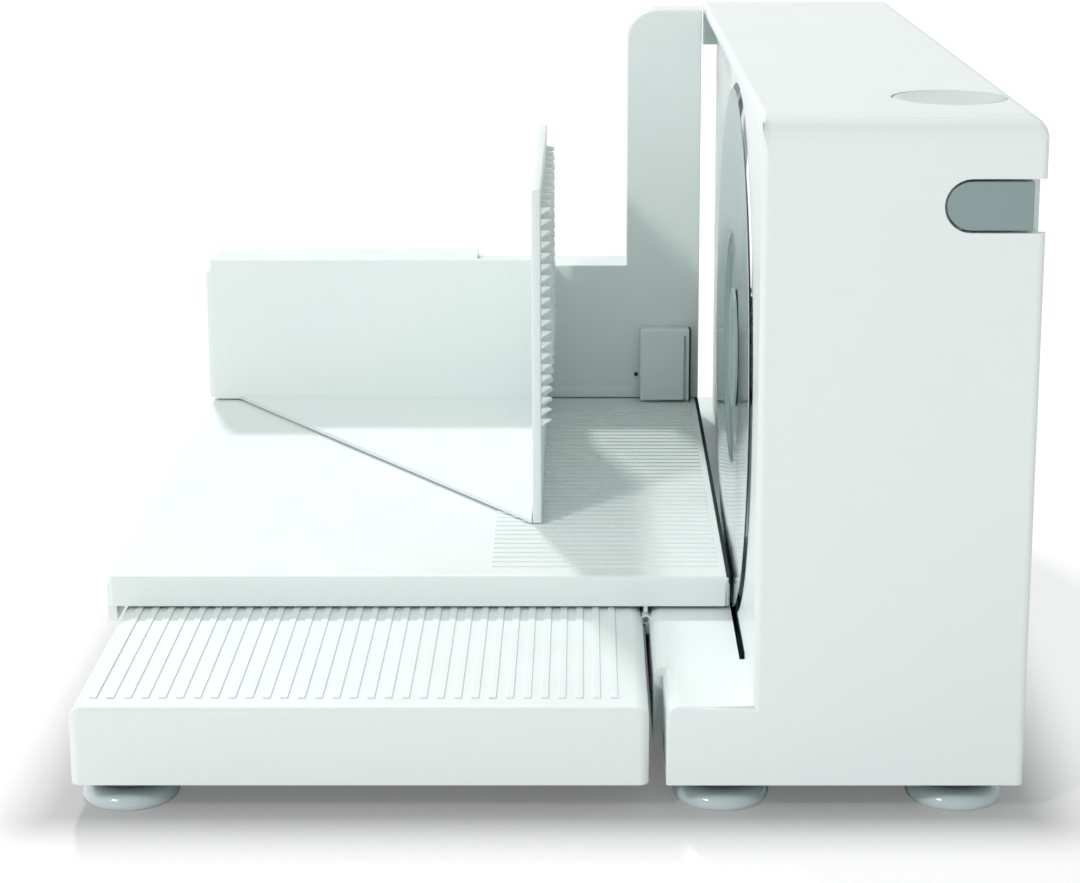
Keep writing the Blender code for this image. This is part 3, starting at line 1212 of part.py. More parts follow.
# Motor group
def worm_shaft():
    """Motor shaft with the worm's thread standing out of its core."""
    top = TOP_BEARING_Z
    bottom = MOTOR_BOTTOM_Z + MOTOR_WALL + GAP
    core_low, core_high = BLADE_Z - WORM_LENGTH / 2, BLADE_Z + WORM_LENGTH / 2
    shoulder = core_low - WORM_LENGTH / 8
    profile = [
        (0, top), (SHAFT_RADIUS, top), (SHAFT_RADIUS, core_high), (WORM_CORE_RADIUS, core_high),
        (WORM_CORE_RADIUS, shoulder), (SHAFT_RADIUS, shoulder), (SHAFT_RADIUS, bottom), (0, bottom),
    ]
    item = turned("worm_shaft", "Z", (WHEEL_X, MOTOR_Y, 0), profile, "shaft_steel", 2 * WORM_TURN_STEPS)
    turns = int((WORM_LENGTH - WORM_FOOT_WIDTH) / WORM_LEAD)
    start = BLADE_Z - turns * WORM_LEAD / 2

    def build(work):
        half_foot, half_crest = WORM_FOOT_WIDTH / 2, WORM_CREST_WIDTH / 2
        inside = WORM_CORE_RADIUS * 0.8
        corners = [(inside, -half_foot), (WORM_CREST_RADIUS, -half_crest), (WORM_CREST_RADIUS, half_crest),
                   (inside, half_foot)]
        face = work.faces.new([work.verts.new((x, 0, z)) for x, z in corners])
        bmesh.ops.spin(work, geom=[face], cent=(0, 0, 0), axis=(0, 0, 1),
                       dvec=(0, 0, WORM_LEAD / WORM_TURN_STEPS), angle=2 * math.pi * turns,
                       steps=turns * WORM_TURN_STEPS, use_duplicate=False)

    thread = add("worm_thread", mesh_of("worm_thread", build), (WHEEL_X, MOTOR_Y, start),
                 turn=(0, 0, worm_phase(turns)))
    return fuse(item, thread)


def worm_phase(turns):
    """Turn of the thread that puts its ridge between two wheel teeth at the wheel's side."""
    return math.radians(90) + math.pi * (turns % 2) + math.pi


def motor_can():
    """Drawn steel can of the motor, open at the top."""
    outer, inner = MOTOR_RADIUS, MOTOR_RADIUS - MOTOR_WALL
    hole = SHAFT_RADIUS + RUNNING_GAP
    profile = [
        (outer, MOTOR_TOP_Z), (outer, MOTOR_BOTTOM_Z), (0, MOTOR_BOTTOM_Z),
        (0, MOTOR_BOTTOM_Z + MOTOR_WALL),
        (inner, MOTOR_BOTTOM_Z + MOTOR_WALL), (inner, MOTOR_TOP_Z),
    ]
    ring = [
        (hole, MOTOR_BOTTOM_Z + MOTOR_WALL / 2), (hole, MOTOR_BOTTOM_Z + MOTOR_WALL + SHAFT_BUSH_LENGTH),
        (SHAFT_BUSH_RADIUS, MOTOR_BOTTOM_Z + MOTOR_WALL + SHAFT_BUSH_LENGTH),
        (SHAFT_BUSH_RADIUS, MOTOR_BOTTOM_Z + MOTOR_WALL / 2),
    ]
    item = turned("motor_can", "Z", (WHEEL_X, MOTOR_Y, 0), profile[::1], "can_steel")
    bush = turned("can_bush", "Z", (WHEEL_X, MOTOR_Y, 0), ring)
    return fuse(item, bush)


def motor_magnets():
    """Two curved magnets inside the can."""
    outer = MOTOR_RADIUS - MOTOR_WALL - GAP
    inner = outer - MAGNET_THICKNESS
    middle = CORE_Z
    half = math.degrees(MAGNET_ANGLE / 2)
    items = []
    for name, facing in (("magnet_left", 180), ("magnet_right", 0)):
        outline = arc((0, 0), outer, facing - half, facing + half, 12)
        outline += arc((0, 0), inner, facing + half, facing - half, 12)
        outline = [(WHEEL_X + x, MOTOR_Y + y) for x, y in outline]
        items.append(prism(name, "Z", outline, middle - ARMATURE_LENGTH / 2, middle + ARMATURE_LENGTH / 2,
                           "black_plastic"))
    return items


def armature():
    """Slotted core and its winding heads."""
    middle = CORE_Z
    outline = []
    for slot in range(ARMATURE_SLOTS):
        turn = 360 / ARMATURE_SLOTS
        opening = math.degrees(SLOT_OPENING / ARMATURE_RADIUS)
        start = slot * turn + opening / 2
        end = (slot + 1) * turn - opening / 2
        inner = ARMATURE_RADIUS - SLOT_DEPTH
        outline += arc((0, 0), ARMATURE_RADIUS, start, end, 3)
        outline += arc((0, 0), inner, end, end + opening, 1)
    outline = [(WHEEL_X + x, MOTOR_Y + y) for x, y in outline]
    item = prism("armature", "Z", outline, middle - ARMATURE_LENGTH / 2, middle + ARMATURE_LENGTH / 2,
                 "can_steel")
    bore = rod("armature_bore", "Z", (WHEEL_X, MOTOR_Y, middle), SHAFT_RADIUS + GAP, MOTOR_LENGTH,
               sides=SMALL_SIDES)
    return cut(item, bore)


def winding_heads():
    """Copper winding heads above and below the armature's core."""
    middle = CORE_Z
    items = []
    for name, side in (("winding_low", -1), ("winding_high", 1)):
        start = middle + side * (ARMATURE_LENGTH / 2 + GAP)
        end = start + side * WINDING_OVERHANG
        low, high = min(start, end), max(start, end)
        inner = SHAFT_RADIUS + GAP
        belly = WINDING_RADIUS - WINDING_OVERHANG / 3
        profile = [(inner, low), (inner, high), (belly, high), (WINDING_RADIUS, (low + high) / 2),
                   (belly, low)]
        items.append(turned(name, "Z", (WHEEL_X, MOTOR_Y, 0), profile, "copper", SMALL_SIDES))
    return items


def commutator():
    """Commutator under the bearing plate."""
    high = MOTOR_TOP_Z - MOTOR_WALL - GAP
    inner = SHAFT_RADIUS + GAP
    profile = [(inner, high - COMMUTATOR_LENGTH), (inner, high - GAP), (COMMUTATOR_RADIUS, high - GAP),
               (COMMUTATOR_RADIUS, high - COMMUTATOR_LENGTH)]
    return turned("commutator", "Z", (WHEEL_X, MOTOR_Y, 0), profile, "copper", SMALL_SIDES)


def end_plate():
    """Bearing plate in the can's mouth."""
    inner = SHAFT_RADIUS + RUNNING_GAP
    outer = MOTOR_RADIUS - MOTOR_WALL - GAP
    low = MOTOR_TOP_Z - MOTOR_WALL
    profile = [(inner, low), (inner, MOTOR_TOP_Z), (outer, MOTOR_TOP_Z), (outer, low)]
    return turned("end_plate", "Z", (WHEEL_X, MOTOR_Y, 0), profile, "black_plastic")


def brush_holders():
    """Two brush holders hanging from the bearing plate."""
    high = MOTOR_TOP_Z - MOTOR_WALL - GAP
    items = []
    for name, side in (("brush_near", -1), ("brush_far", 1)):
        start = MOTOR_Y + side * (COMMUTATOR_RADIUS + GAP)
        end = MOTOR_Y + side * (MOTOR_RADIUS - MOTOR_WALL - 2 * MAGNET_THICKNESS / 3)
        half = COMMUTATOR_LENGTH / 3
        items.append(box(name, (WHEEL_X - half, min(start, end), high - COMMUTATOR_LENGTH),
                         (WHEEL_X + half, max(start, end), high), "brass"))
    return items


def fan():
    """Cooling fan on the shaft above the bracket."""
    low = BRACKET_TOP_Z + 2 * GAP
    item = rod("fan", "Z", (WHEEL_X, MOTOR_Y, low + FAN_DISC / 2), FAN_RADIUS, FAN_DISC, "gear_plastic")
    hub = rod("fan_hub", "Z", (WHEEL_X, MOTOR_Y, low + FAN_HEIGHT / 2), SHAFT_RADIUS * 2, FAN_HEIGHT,
              sides=SMALL_SIDES)
    fuse(item, hub)
    for number in range(FAN_BLADES // 2):
        blade = box(f"fan_blade_{number}", (WHEEL_X - FAN_RADIUS, MOTOR_Y - FAN_BLADE_THICKNESS / 2, low),
                    (WHEEL_X + FAN_RADIUS, MOTOR_Y + FAN_BLADE_THICKNESS / 2, low + FAN_HEIGHT - FAN_DISC))
        blade.rotation_euler = (0, 0, 2 * math.pi * number / FAN_BLADES)
        fuse(item, blade)
    bore = rod("fan_bore", "Z", (WHEEL_X, MOTOR_Y, low), SHAFT_RADIUS + GAP, 4 * FAN_HEIGHT, sides=SMALL_SIDES)
    return cut(item, bore)


def motor_bracket():
    """Bracket from the housing's wall that the motor hangs in."""
    low = MOTOR_TOP_Z + GAP
    item = box("motor_bracket", (CAVITY_LEFT + GAP, MOTOR_Y - BRACKET_SIDE / 2, low),
               (WHEEL_X + BRACKET_SIDE / 2, MOTOR_Y + BRACKET_SIDE / 2, BRACKET_TOP_Z), "grey_plastic")
    for number, side in enumerate((-1, 1)):
        middle = MOTOR_Y + side * (BRACKET_SIDE / 2 - BRACKET_WEB_INSET)
        web = box(f"bracket_web_{number}",
                  (CAVITY_LEFT + 2 * GAP, middle - BRACKET_WEB / 2, MOTOR_BOTTOM_Z + MOTOR_LENGTH / 2),
                  (WHEEL_X - BRACKET_WEB_REACH, middle + BRACKET_WEB / 2, low + BRACKET_THICKNESS / 2))
        fuse(item, web)
    hole = rod("bracket_hole", "Z", (WHEEL_X, MOTOR_Y, low), SHAFT_BUSH_RADIUS, 4 * BRACKET_THICKNESS,
               sides=SMALL_SIDES)
    return cut(item, hole)


def top_bearing():
    """Bearing block of the worm's upper end, on an arm from the housing's wall."""
    low = BLADE_Z + WORM_LENGTH / 2 + GAP
    high = low + TOP_BEARING_HEIGHT
    half = TOP_BEARING_BLOCK / 2
    item = box("top_bearing", (CAVITY_LEFT + GAP, MOTOR_Y - half, low), (WHEEL_X + half, MOTOR_Y + half, high),
               "grey_plastic")
    bore = rod("top_bearing_bore", "Z", (WHEEL_X, MOTOR_Y, low), SHAFT_RADIUS + RUNNING_GAP,
               4 * TOP_BEARING_HEIGHT, sides=2 * WORM_TURN_STEPS)
    return cut(item, bore)


# Thickness stop
def stop_plate():
    """Flat stop with a near edge that follows the blade, and stiffening ribs behind."""
    radius = BLADE_RADIUS + STOP_BLADE_GAP
    reach = BLADE_Z - STOP_BOTTOM
    angle = math.degrees(math.asin(min(1, (STOP_NEAR - BLADE_Y) / radius)))
    outline = [(STOP_FAR, STOP_BOTTOM), (STOP_FAR, STOP_TOP), (STOP_NEAR, STOP_TOP)]
    outline += [(BLADE_Y + radius * math.sin(math.radians(a)), BLADE_Z + radius * math.cos(math.radians(a)))
                for a in [angle + (180 - 2 * angle) * i / 14 for i in range(15)]]
    outline += [(STOP_NEAR, BLADE_Z - reach)]
    item = prism("stop_plate", "X", outline, STOP_X, STOP_X + STOP_THICKNESS, "table_plastic")
    rib_start = STOP_X + STOP_THICKNESS / 2
    rib_end = STOP_X + STOP_THICKNESS + STOP_RIB_DEPTH
    for number, z in enumerate(STOP_RIB_Z):
        rib_near = BLADE_Y + radius + STOP_BLADE_GAP
        rib = box(f"stop_rib_{number}", (rib_start, rib_near, z),
                  (rib_end, STOP_FAR - STOP_RIB_WIDTH, z + STOP_RIB_WIDTH))
        fuse(item, rib)
    return item


def thickness_rack():
    """Toothed bar on the stop's back, sliding into the far post."""
    pitch = math.pi * RACK_MODULE
    root = RACK_Z - RACK_MODULE
    start = STOP_X + STOP_THICKNESS + GAP
    low = root - RACK_HEIGHT
    outline = [(start, low), (RACK_END_X, low), (RACK_END_X, root)]
    count = int((RACK_END_X - RACK_FIRST_TOOTH_X) / pitch)
    offset = (KNOB_X - RACK_FIRST_TOOTH_X) % pitch - pitch / 2
    teeth = []
    for number in range(count):
        middle = RACK_FIRST_TOOTH_X + offset + number * pitch + pitch / 2
        if middle + pitch / 2 > RACK_END_X:
            break
        teeth.append([(middle - RACK_ROOT_WIDTH / 2, root), (middle - RACK_TIP_WIDTH / 2, RACK_Z + RACK_MODULE * 0.9),
                      (middle + RACK_TIP_WIDTH / 2, RACK_Z + RACK_MODULE * 0.9), (middle + RACK_ROOT_WIDTH / 2, root)])
    for tooth in reversed(teeth):
        outline += tooth[::-1]
    outline += [(start, root)]
    return prism("thickness_rack", "Y", outline, RACK_NEAR, RACK_FAR, "gear_plastic")


def rack_guide():
    """Shelf in the post that carries the rack."""
    high = RACK_Z - RACK_MODULE - RACK_HEIGHT - GAP
    return box("rack_guide", (POST_X + WALL + GAP, POST_NEAR + WALL + GAP, high - GUIDE_THICKNESS),
               (HOUSE_WIDTH - COVER_THICKNESS - GAP, BODY_DEPTH - WALL - GAP, high), "grey_plastic")


def knob_pinion():
    """Pinion and shaft of the knob."""
    tip = PINION_RADIUS + RACK_MODULE * 0.9
    root = PINION_RADIUS - RACK_MODULE
    phase = math.radians(-90) + math.pi / PINION_TEETH
    outline = gear_outline(PINION_TEETH, root, tip, PINION_ROOT_WIDTH, PINION_TIP_WIDTH, phase)
    outline = [(KNOB_X + x, KNOB_Z + z) for x, z in outline]
    item = prism("knob_pinion", "Y", outline, RACK_NEAR, RACK_FAR, "gear_plastic")
    end = BODY_DEPTH + KNOB_HEIGHT / 2
    shaft = rod("knob_shaft", "Y", (KNOB_X, (RACK_FAR - GAP + end) / 2, KNOB_Z), KNOB_SHAFT_RADIUS,
                end - RACK_FAR + GAP, sides=SMALL_SIDES)
    return fuse(item, shaft)


def thickness_knob():
    """Fluted knob on the post's far face."""
    start = BODY_DEPTH + GAP
    item = rod("thickness_knob", "Y", (KNOB_X, start + KNOB_HEIGHT / 2, KNOB_Z), KNOB_RADIUS,
               KNOB_HEIGHT, "button_plastic", far_radius=KNOB_RADIUS * 0.93)
    for number in range(KNOB_FLUTES):
        angle = 2 * math.pi * number / KNOB_FLUTES
        place = (KNOB_X + KNOB_RADIUS * math.cos(angle), start + KNOB_HEIGHT * 0.65,
                 KNOB_Z + KNOB_RADIUS * math.sin(angle))
        cut(item, rod(f"knob_flute_{number}", "Y", place, KNOB_FLUTE_RADIUS, KNOB_HEIGHT, sides=8))
    bore = rod("knob_bore", "Y", (KNOB_X, start, KNOB_Z), KNOB_SHAFT_RADIUS + GAP, KNOB_HEIGHT + 2 * GAP,
               sides=SMALL_SIDES)
    return cut(item, bore)


# Controls
def top_button():
    """Dished push button with skirt, retaining flange and stem."""
    top = BODY_HEIGHT
    radius = BUTTON_RADIUS
    flange_top = ROOF_UNDER - GAP
    skirt_low = flange_top - BUTTON_FLANGE
    inner = radius - BUTTON_SKIN
    stem_low = SHELF_Z + SHELF_THICKNESS / 2
    under = top - BUTTON_DISH - BUTTON_SKIN
    profile = [
        (0, top - BUTTON_DISH), (radius * 0.55, top - BUTTON_DISH * 0.7), (radius * 0.93, top),
        (radius, top - BUTTON_DISH), (radius, flange_top), (radius + BUTTON_FLANGE, flange_top),
        (radius + BUTTON_FLANGE, skirt_low), (inner, skirt_low), (inner, under),
        (BUTTON_STEM_RADIUS, under), (BUTTON_STEM_RADIUS, stem_low), (0, stem_low),
    ]
    return turned("top_button", "Z", (BUTTON_X, BUTTON_Y, 0), profile, "button_plastic")


def switch_shelf():
    """Shelf from the housing's wall, pierced for the button's stem."""
    half = SHELF_WIDTH / 2
    item = box("switch_shelf", (CAVITY_LEFT + GAP, BUTTON_Y - half, SHELF_Z),
               (BUTTON_X + half - BUTTON_SKIN, BUTTON_Y + half, SHELF_Z + SHELF_THICKNESS), "grey_plastic")
    hole = rod("stem_hole", "Z", (BUTTON_X, BUTTON_Y, SHELF_Z), BUTTON_STEM_RADIUS + GAP,
               4 * SHELF_THICKNESS, sides=SMALL_SIDES)
    return cut(item, hole)


def button_spring():
    """Coil spring between the shelf and the button."""
    low = SHELF_Z + SHELF_THICKNESS + GAP + SPRING_WIRE_RADIUS
    high = BODY_HEIGHT - BUTTON_DISH - BUTTON_SKIN - GAP - SPRING_WIRE_RADIUS
    steps = SPRING_TURNS * 12
    curve = bpy.data.curves.new("button_spring", "CURVE")
    curve.dimensions = "3D"
    spline = curve.splines.new("POLY")
    spline.points.add(steps)
    for number, point in enumerate(spline.points):
        angle = 2 * math.pi * number / 12
        height = low + (high - low) * number / steps
        point.co = (SPRING_RADIUS * math.cos(angle), SPRING_RADIUS * math.sin(angle), height - SHELF_Z, 1)
    curve.bevel_depth = SPRING_WIRE_RADIUS
    curve.bevel_resolution = 1
    curve.use_fill_caps = True
    curve.materials.append(material("shaft_steel"))
    item = bpy.data.objects.new("button_spring", curve)
    PARTS.objects.link(item)
    item.location = world((BUTTON_X, BUTTON_Y, SHELF_Z))
    return item


def button_switch():
    """Safety switch under the shelf, hung by its two ears."""
    top = SHELF_Z - GAP
    half = SWITCH_LENGTH / 2
    low = top - SWITCH_EAR - SWITCH_HEIGHT
    outline = [
        (-half, low), (half, low), (half, top), (half - SWITCH_EAR, top), (half - SWITCH_EAR, top - SWITCH_EAR),
        (SWITCH_EAR - half, top - SWITCH_EAR), (SWITCH_EAR - half, top), (-half, top),
    ]
    outline = [(BUTTON_X + x, z) for x, z in outline]
    item = prism("button_switch", "Y", outline, BUTTON_Y - SWITCH_WIDTH / 2, BUTTON_Y + SWITCH_WIDTH / 2,
                 "black_plastic")
    return fuse(item, *terminals("button_terminal", (BUTTON_X, BUTTON_Y, low)))


def terminals(name, point):
    """Three flat tabs below a switch."""
    x, y, z = point
    tabs = []
    for number in (-1, 0, 1):
        middle = x + number * SWITCH_LENGTH / 3
        tabs.append(box(f"{name}_{number + 1}", (middle - TERMINAL_WIDTH / 2, y - TERMINAL_THICKNESS / 2,
                                                  z - TERMINAL_LENGTH),
                        (middle + TERMINAL_WIDTH / 2, y + TERMINAL_THICKNESS / 2, z + TERMINAL_THICKNESS)))
    return tabs


def paddle_switch():
    """Main switch on the back of the paddle's notch."""
    start = NOTCH_DEPTH + WALL + GAP
    left = NOTCH_LEFT + PADDLE_GAP
    low = NOTCH_BOTTOM + SWITCH_EAR / 2
    item = box("paddle_switch", (left, start, low), (left + SWITCH_LENGTH, start + SWITCH_WIDTH, low + SWITCH_HEIGHT),
               "black_plastic")
    return fuse(item, *terminals("paddle_terminal", (left + SWITCH_LENGTH / 2, start + SWITCH_WIDTH / 2, low)))


def switch_paddle():
    """Rocking switch paddle with a round end and two pivot stubs."""
    low = NOTCH_BOTTOM + PADDLE_GAP
    high = NOTCH_BOTTOM + NOTCH_HEIGHT - PADDLE_GAP
    radius = (high - low) / 2
    middle = (low + high) / 2
    left = NOTCH_LEFT + PADDLE_GAP
    outline = [(PADDLE_RIGHT, low), (PADDLE_RIGHT, high)]
    outline += arc((left + radius, middle), radius, 90, 270, 14)
    item = prism("switch_paddle", "Y", outline, 0, PADDLE_THICKNESS, "grey_plastic")
    bevel(item, EDGE_ROUND / 4, 1, 60)
    stub_length = NOTCH_HEIGHT + 2 * (PADDLE_PIVOT_LENGTH - 2 * GAP) - PADDLE_GAP
    stubs = rod("paddle_pivots", "Z", (PADDLE_PIVOT_X, PADDLE_THICKNESS / 2 + PADDLE_GAP, middle),
                PADDLE_PIVOT_RADIUS, stub_length, sides=SMALL_SIDES)
    return fuse(item, stubs)


def make_body():
    """All fixed pieces."""
    body_shell()
    side_cover()
    post_cover()
    bottom_plate()
    hinge_pins()
    for row, x in enumerate(RIGHT_FOOT_X):
        for end, (foot_x, foot_y) in zip(("near", "far"), foot_places(x)):
            foot(f"foot_{('inner', 'outer')[row]}_{end}", foot_x, foot_y)
    cord_gland()
    spindle_bush()
    motor_can()
    motor_magnets()
    end_plate()
    brush_holders()
    motor_bracket()
    top_bearing()
    switch_shelf()
    button_spring()
    button_switch()
    paddle_switch()
    rack_guide()


def make_left_base():
    """Folding base half on its hinge."""
    feet = [foot(f"foot_left_{end}", x, y) for end, (x, y) in zip(("near", "far"), foot_places(LEFT_FOOT_X))]
    joint("base_fold", (SEAM_X, BODY_DEPTH / 2, HINGE_Z), [left_panel(), *feet])


def make_carriage():
    """Runner, carriage and food holder, each on the one before."""
    runner = joint("carriage_slide", (SEAM_X, WALL_FAR, HINGE_Z), [guide_shoe()])
    carriage = joint("carriage_lift", (SEAM_X, WALL_FAR, BASE_HEIGHT),
                     [carriage_table(), carriage_wall(), catch_block()], runner)
    joint("holder_slide", (HOLDER_LEFT, HOLDER_FAR, TABLE_REST), [holder_frame(), tooth_plate()], carriage)


def make_drive():
    """Blade with its lock, and the motor's turning pieces."""
    blade = joint("blade_turn", (0, BLADE_Y, BLADE_Z),
                  [blade_disc(), blade_carrier(), worm_wheel(), spindle_clip()])
    joint("lock_turn", (0, BLADE_Y, BLADE_Z), [centre_lock()], blade)
    joint("motor_turn", (WHEEL_X, MOTOR_Y, BLADE_Z),
          [worm_shaft(), armature(), *winding_heads(), commutator(), fan()])


def make_thickness_setting():
    """Stop with its rack, and the knob with its pinion."""
    joint("stop_slide", (STOP_X, STOP_FAR, RACK_Z), [stop_plate(), thickness_rack()])
    joint("knob_turn", (KNOB_X, BODY_DEPTH, KNOB_Z), [knob_pinion(), thickness_knob()])


def make_controls():
    """Button and paddle."""
    joint("button_push", (BUTTON_X, BUTTON_Y, BODY_HEIGHT), [top_button()])
    joint("paddle_rock", (PADDLE_PIVOT_X, PADDLE_THICKNESS / 2 + PADDLE_GAP, NOTCH_BOTTOM), [switch_paddle()])


make_body()
make_left_base()
make_carriage()
make_drive()
make_thickness_setting()
make_controls()
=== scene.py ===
"""Dressed scene of a folding electric food slicer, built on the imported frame."""

import json
import math

import bmesh
import bpy
from mathutils import Matrix, Vector


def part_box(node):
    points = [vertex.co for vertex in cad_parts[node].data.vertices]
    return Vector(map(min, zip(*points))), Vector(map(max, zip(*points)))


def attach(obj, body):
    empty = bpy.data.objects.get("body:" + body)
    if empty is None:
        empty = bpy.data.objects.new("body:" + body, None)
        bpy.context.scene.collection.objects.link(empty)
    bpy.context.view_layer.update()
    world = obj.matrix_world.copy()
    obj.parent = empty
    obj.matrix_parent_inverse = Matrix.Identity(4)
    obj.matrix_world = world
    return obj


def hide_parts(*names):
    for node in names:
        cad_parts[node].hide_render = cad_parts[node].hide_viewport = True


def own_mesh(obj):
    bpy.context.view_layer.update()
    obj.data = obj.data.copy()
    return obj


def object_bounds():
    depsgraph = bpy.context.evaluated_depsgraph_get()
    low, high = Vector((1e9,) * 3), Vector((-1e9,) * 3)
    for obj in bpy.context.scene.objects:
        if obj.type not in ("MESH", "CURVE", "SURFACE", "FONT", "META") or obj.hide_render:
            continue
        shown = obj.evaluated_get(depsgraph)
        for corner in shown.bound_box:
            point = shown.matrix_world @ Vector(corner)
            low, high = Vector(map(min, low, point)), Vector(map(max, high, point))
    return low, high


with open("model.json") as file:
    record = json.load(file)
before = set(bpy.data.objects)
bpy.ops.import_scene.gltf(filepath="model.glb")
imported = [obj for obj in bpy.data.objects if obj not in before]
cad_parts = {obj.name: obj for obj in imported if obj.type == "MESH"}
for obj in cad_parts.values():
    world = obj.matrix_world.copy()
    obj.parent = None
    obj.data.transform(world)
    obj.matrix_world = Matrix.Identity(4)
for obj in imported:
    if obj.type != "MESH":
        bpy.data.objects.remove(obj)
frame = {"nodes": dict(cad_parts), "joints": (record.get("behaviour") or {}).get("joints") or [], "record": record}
CAD_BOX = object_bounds()


# Frame values
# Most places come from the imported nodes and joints.
# The slit in the base, the lamps and the camera have values of their own.
RECORD = frame["record"]
BODY_OF = {node: body for body, nodes in RECORD["behaviour"]["bodies"].items() for node in nodes}
SLOT_OF = {part["node"]: part["material_slot"] for part in RECORD["subparts"]}
JOINT = {joint["name"]: joint for joint in frame["joints"]}
BLADE_CENTRE = Vector(JOINT["blade_turn"]["pos_m"])
KNOB_CENTRE = Vector(JOINT["knob_turn"]["pos_m"])
WELD = 0.00001
SHARP_EDGE = math.radians(35)
FLAT_ANGLE = math.radians(1)
LONG_EDGE = 4
ROUND_SEGMENTS = 3
ROUND_PROFILE = 0.5
RIGHT = (1, 0, 0)
DOWN = (0, 0, -1)


# Mesh helpers
# A piece is made as one plain mesh in the world's frame, rides on its body and takes a material, mostly that of
# its slot.
def link(name, data):
    """Object of a mesh, a lamp or a camera in the scene."""
    made = bpy.data.objects.new(name, data)
    bpy.context.scene.collection.objects.link(made)
    return made


def settle(item):
    """Turn an object's modifiers into its plain mesh."""
    graph = bpy.context.evaluated_depsgraph_get()
    mesh = bpy.data.meshes.new_from_object(item.evaluated_get(graph), depsgraph=graph)
    item.modifiers.clear()
    item.data = mesh
    return item


def smooth(mesh):
    """Smooth shading that breaks at sharp edges."""
    mesh.polygons.foreach_set("use_smooth", [True] * len(mesh.polygons))
    mesh.set_sharp_from_angle(angle=SHARP_EDGE)
    mesh.update()


def dress(item, body, slot, *nodes, paint=None):
    """Give a finished piece the material of its slot or of a paint, put it on its body and hide the nodes that it
    stands for.
    """
    item.data.materials.clear()
    item.data.materials.append(MATERIALS[paint or slot])
    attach(item, body)
    if nodes:
        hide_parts(*nodes)
    return item


def mesh_of(name, build):
    """Mesh that a bmesh function fills, facing out."""
    work = bmesh.new()
    build(work)
    bmesh.ops.recalc_face_normals(work, faces=work.faces)
    mesh = bpy.data.meshes.new(name)
    work.to_mesh(mesh)
    work.free()
    return mesh


def round_off(work, edges, width):
    """Round the given edges of a bmesh."""
    bmesh.ops.bevel(work, geom=edges, offset=width, offset_type="OFFSET", segments=ROUND_SEGMENTS,
                    profile=ROUND_PROFILE, affect="EDGES", clamp_overlap=True)


def refined(node, width):
    """Finer copy of a node: its long outer edges rounded and its flats kept flat."""
    work = bmesh.new()
    work.from_mesh(frame["nodes"][node].data)
    bmesh.ops.remove_doubles(work, verts=work.verts, dist=WELD)
    bmesh.ops.dissolve_limit(work, angle_limit=FLAT_ANGLE, verts=work.verts, edges=work.edges)
    chosen = []
    for edge in work.edges:
        if len(edge.link_faces) != 2 or not edge.is_convex:
            continue
        if edge.calc_face_angle() > SHARP_EDGE and edge.calc_length() > LONG_EDGE * width:
            chosen.append(edge)
    round_off(work, chosen, width)
    mesh = bpy.data.meshes.new(f"{node}_fine")
    work.to_mesh(mesh)
    work.free()
    smooth(mesh)
    item = link(f"{node}_fine", mesh)
    weighted = item.modifiers.new("flats", "WEIGHTED_NORMAL")
    weighted.keep_sharp = True
    settle(item)
    dress(item, BODY_OF[node], SLOT_OF[node], node)


def turned(name, axis, centre, profile, sides):
    """Profile of (radius, height) points turned about an axis through a centre."""
    turn = {"X": Matrix.Rotation(math.pi / 2, 4, "Y"), "Y": Matrix.Rotation(-math.pi / 2, 4, "X"),
            "Z": Matrix.Identity(4)}[axis]

    def build(work):
        rail = [work.verts.new((radius, 0, height)) for radius, height in profile]
        edges = [work.edges.new((a, b)) for a, b in zip(rail, rail[1:])]
        bmesh.ops.spin(work, geom=rail + edges, cent=(0, 0, 0), axis=(0, 0, 1), dvec=(0, 0, 0),
                       angle=2 * math.pi, steps=sides, use_duplicate=False)
        bmesh.ops.remove_doubles(work, verts=work.verts, dist=WELD)
        bmesh.ops.transform(work, matrix=Matrix.Translation(centre) @ turn, verts=work.verts)

    mesh = mesh_of(name, build)
    smooth(mesh)
    return link(name, mesh)


def block(name, low, high, rounding):
    """Box between two corners with rounded edges."""
    low, high = Vector(low), Vector(high)

    def build(work):
        bmesh.ops.create_cube(work, size=1.0)
        size = Matrix.Diagonal((*(high - low), 1))
        bmesh.ops.transform(work, matrix=Matrix.Translation((low + high) / 2) @ size, verts=work.verts)
        round_off(work, work.edges[:], rounding)

    mesh = mesh_of(name, build)
    smooth(mesh)
    return link(name, mesh)


def corner(start, middle, end, steps):
    """Points of a rounded corner between two points of a profile."""
    points = []
    for step in range(steps + 1):
        share = step / steps
        a = Vector(start).lerp(Vector(middle), share)
        b = Vector(middle).lerp(Vector(end), share)
        points.append(tuple(a.lerp(b, share)))
    return points


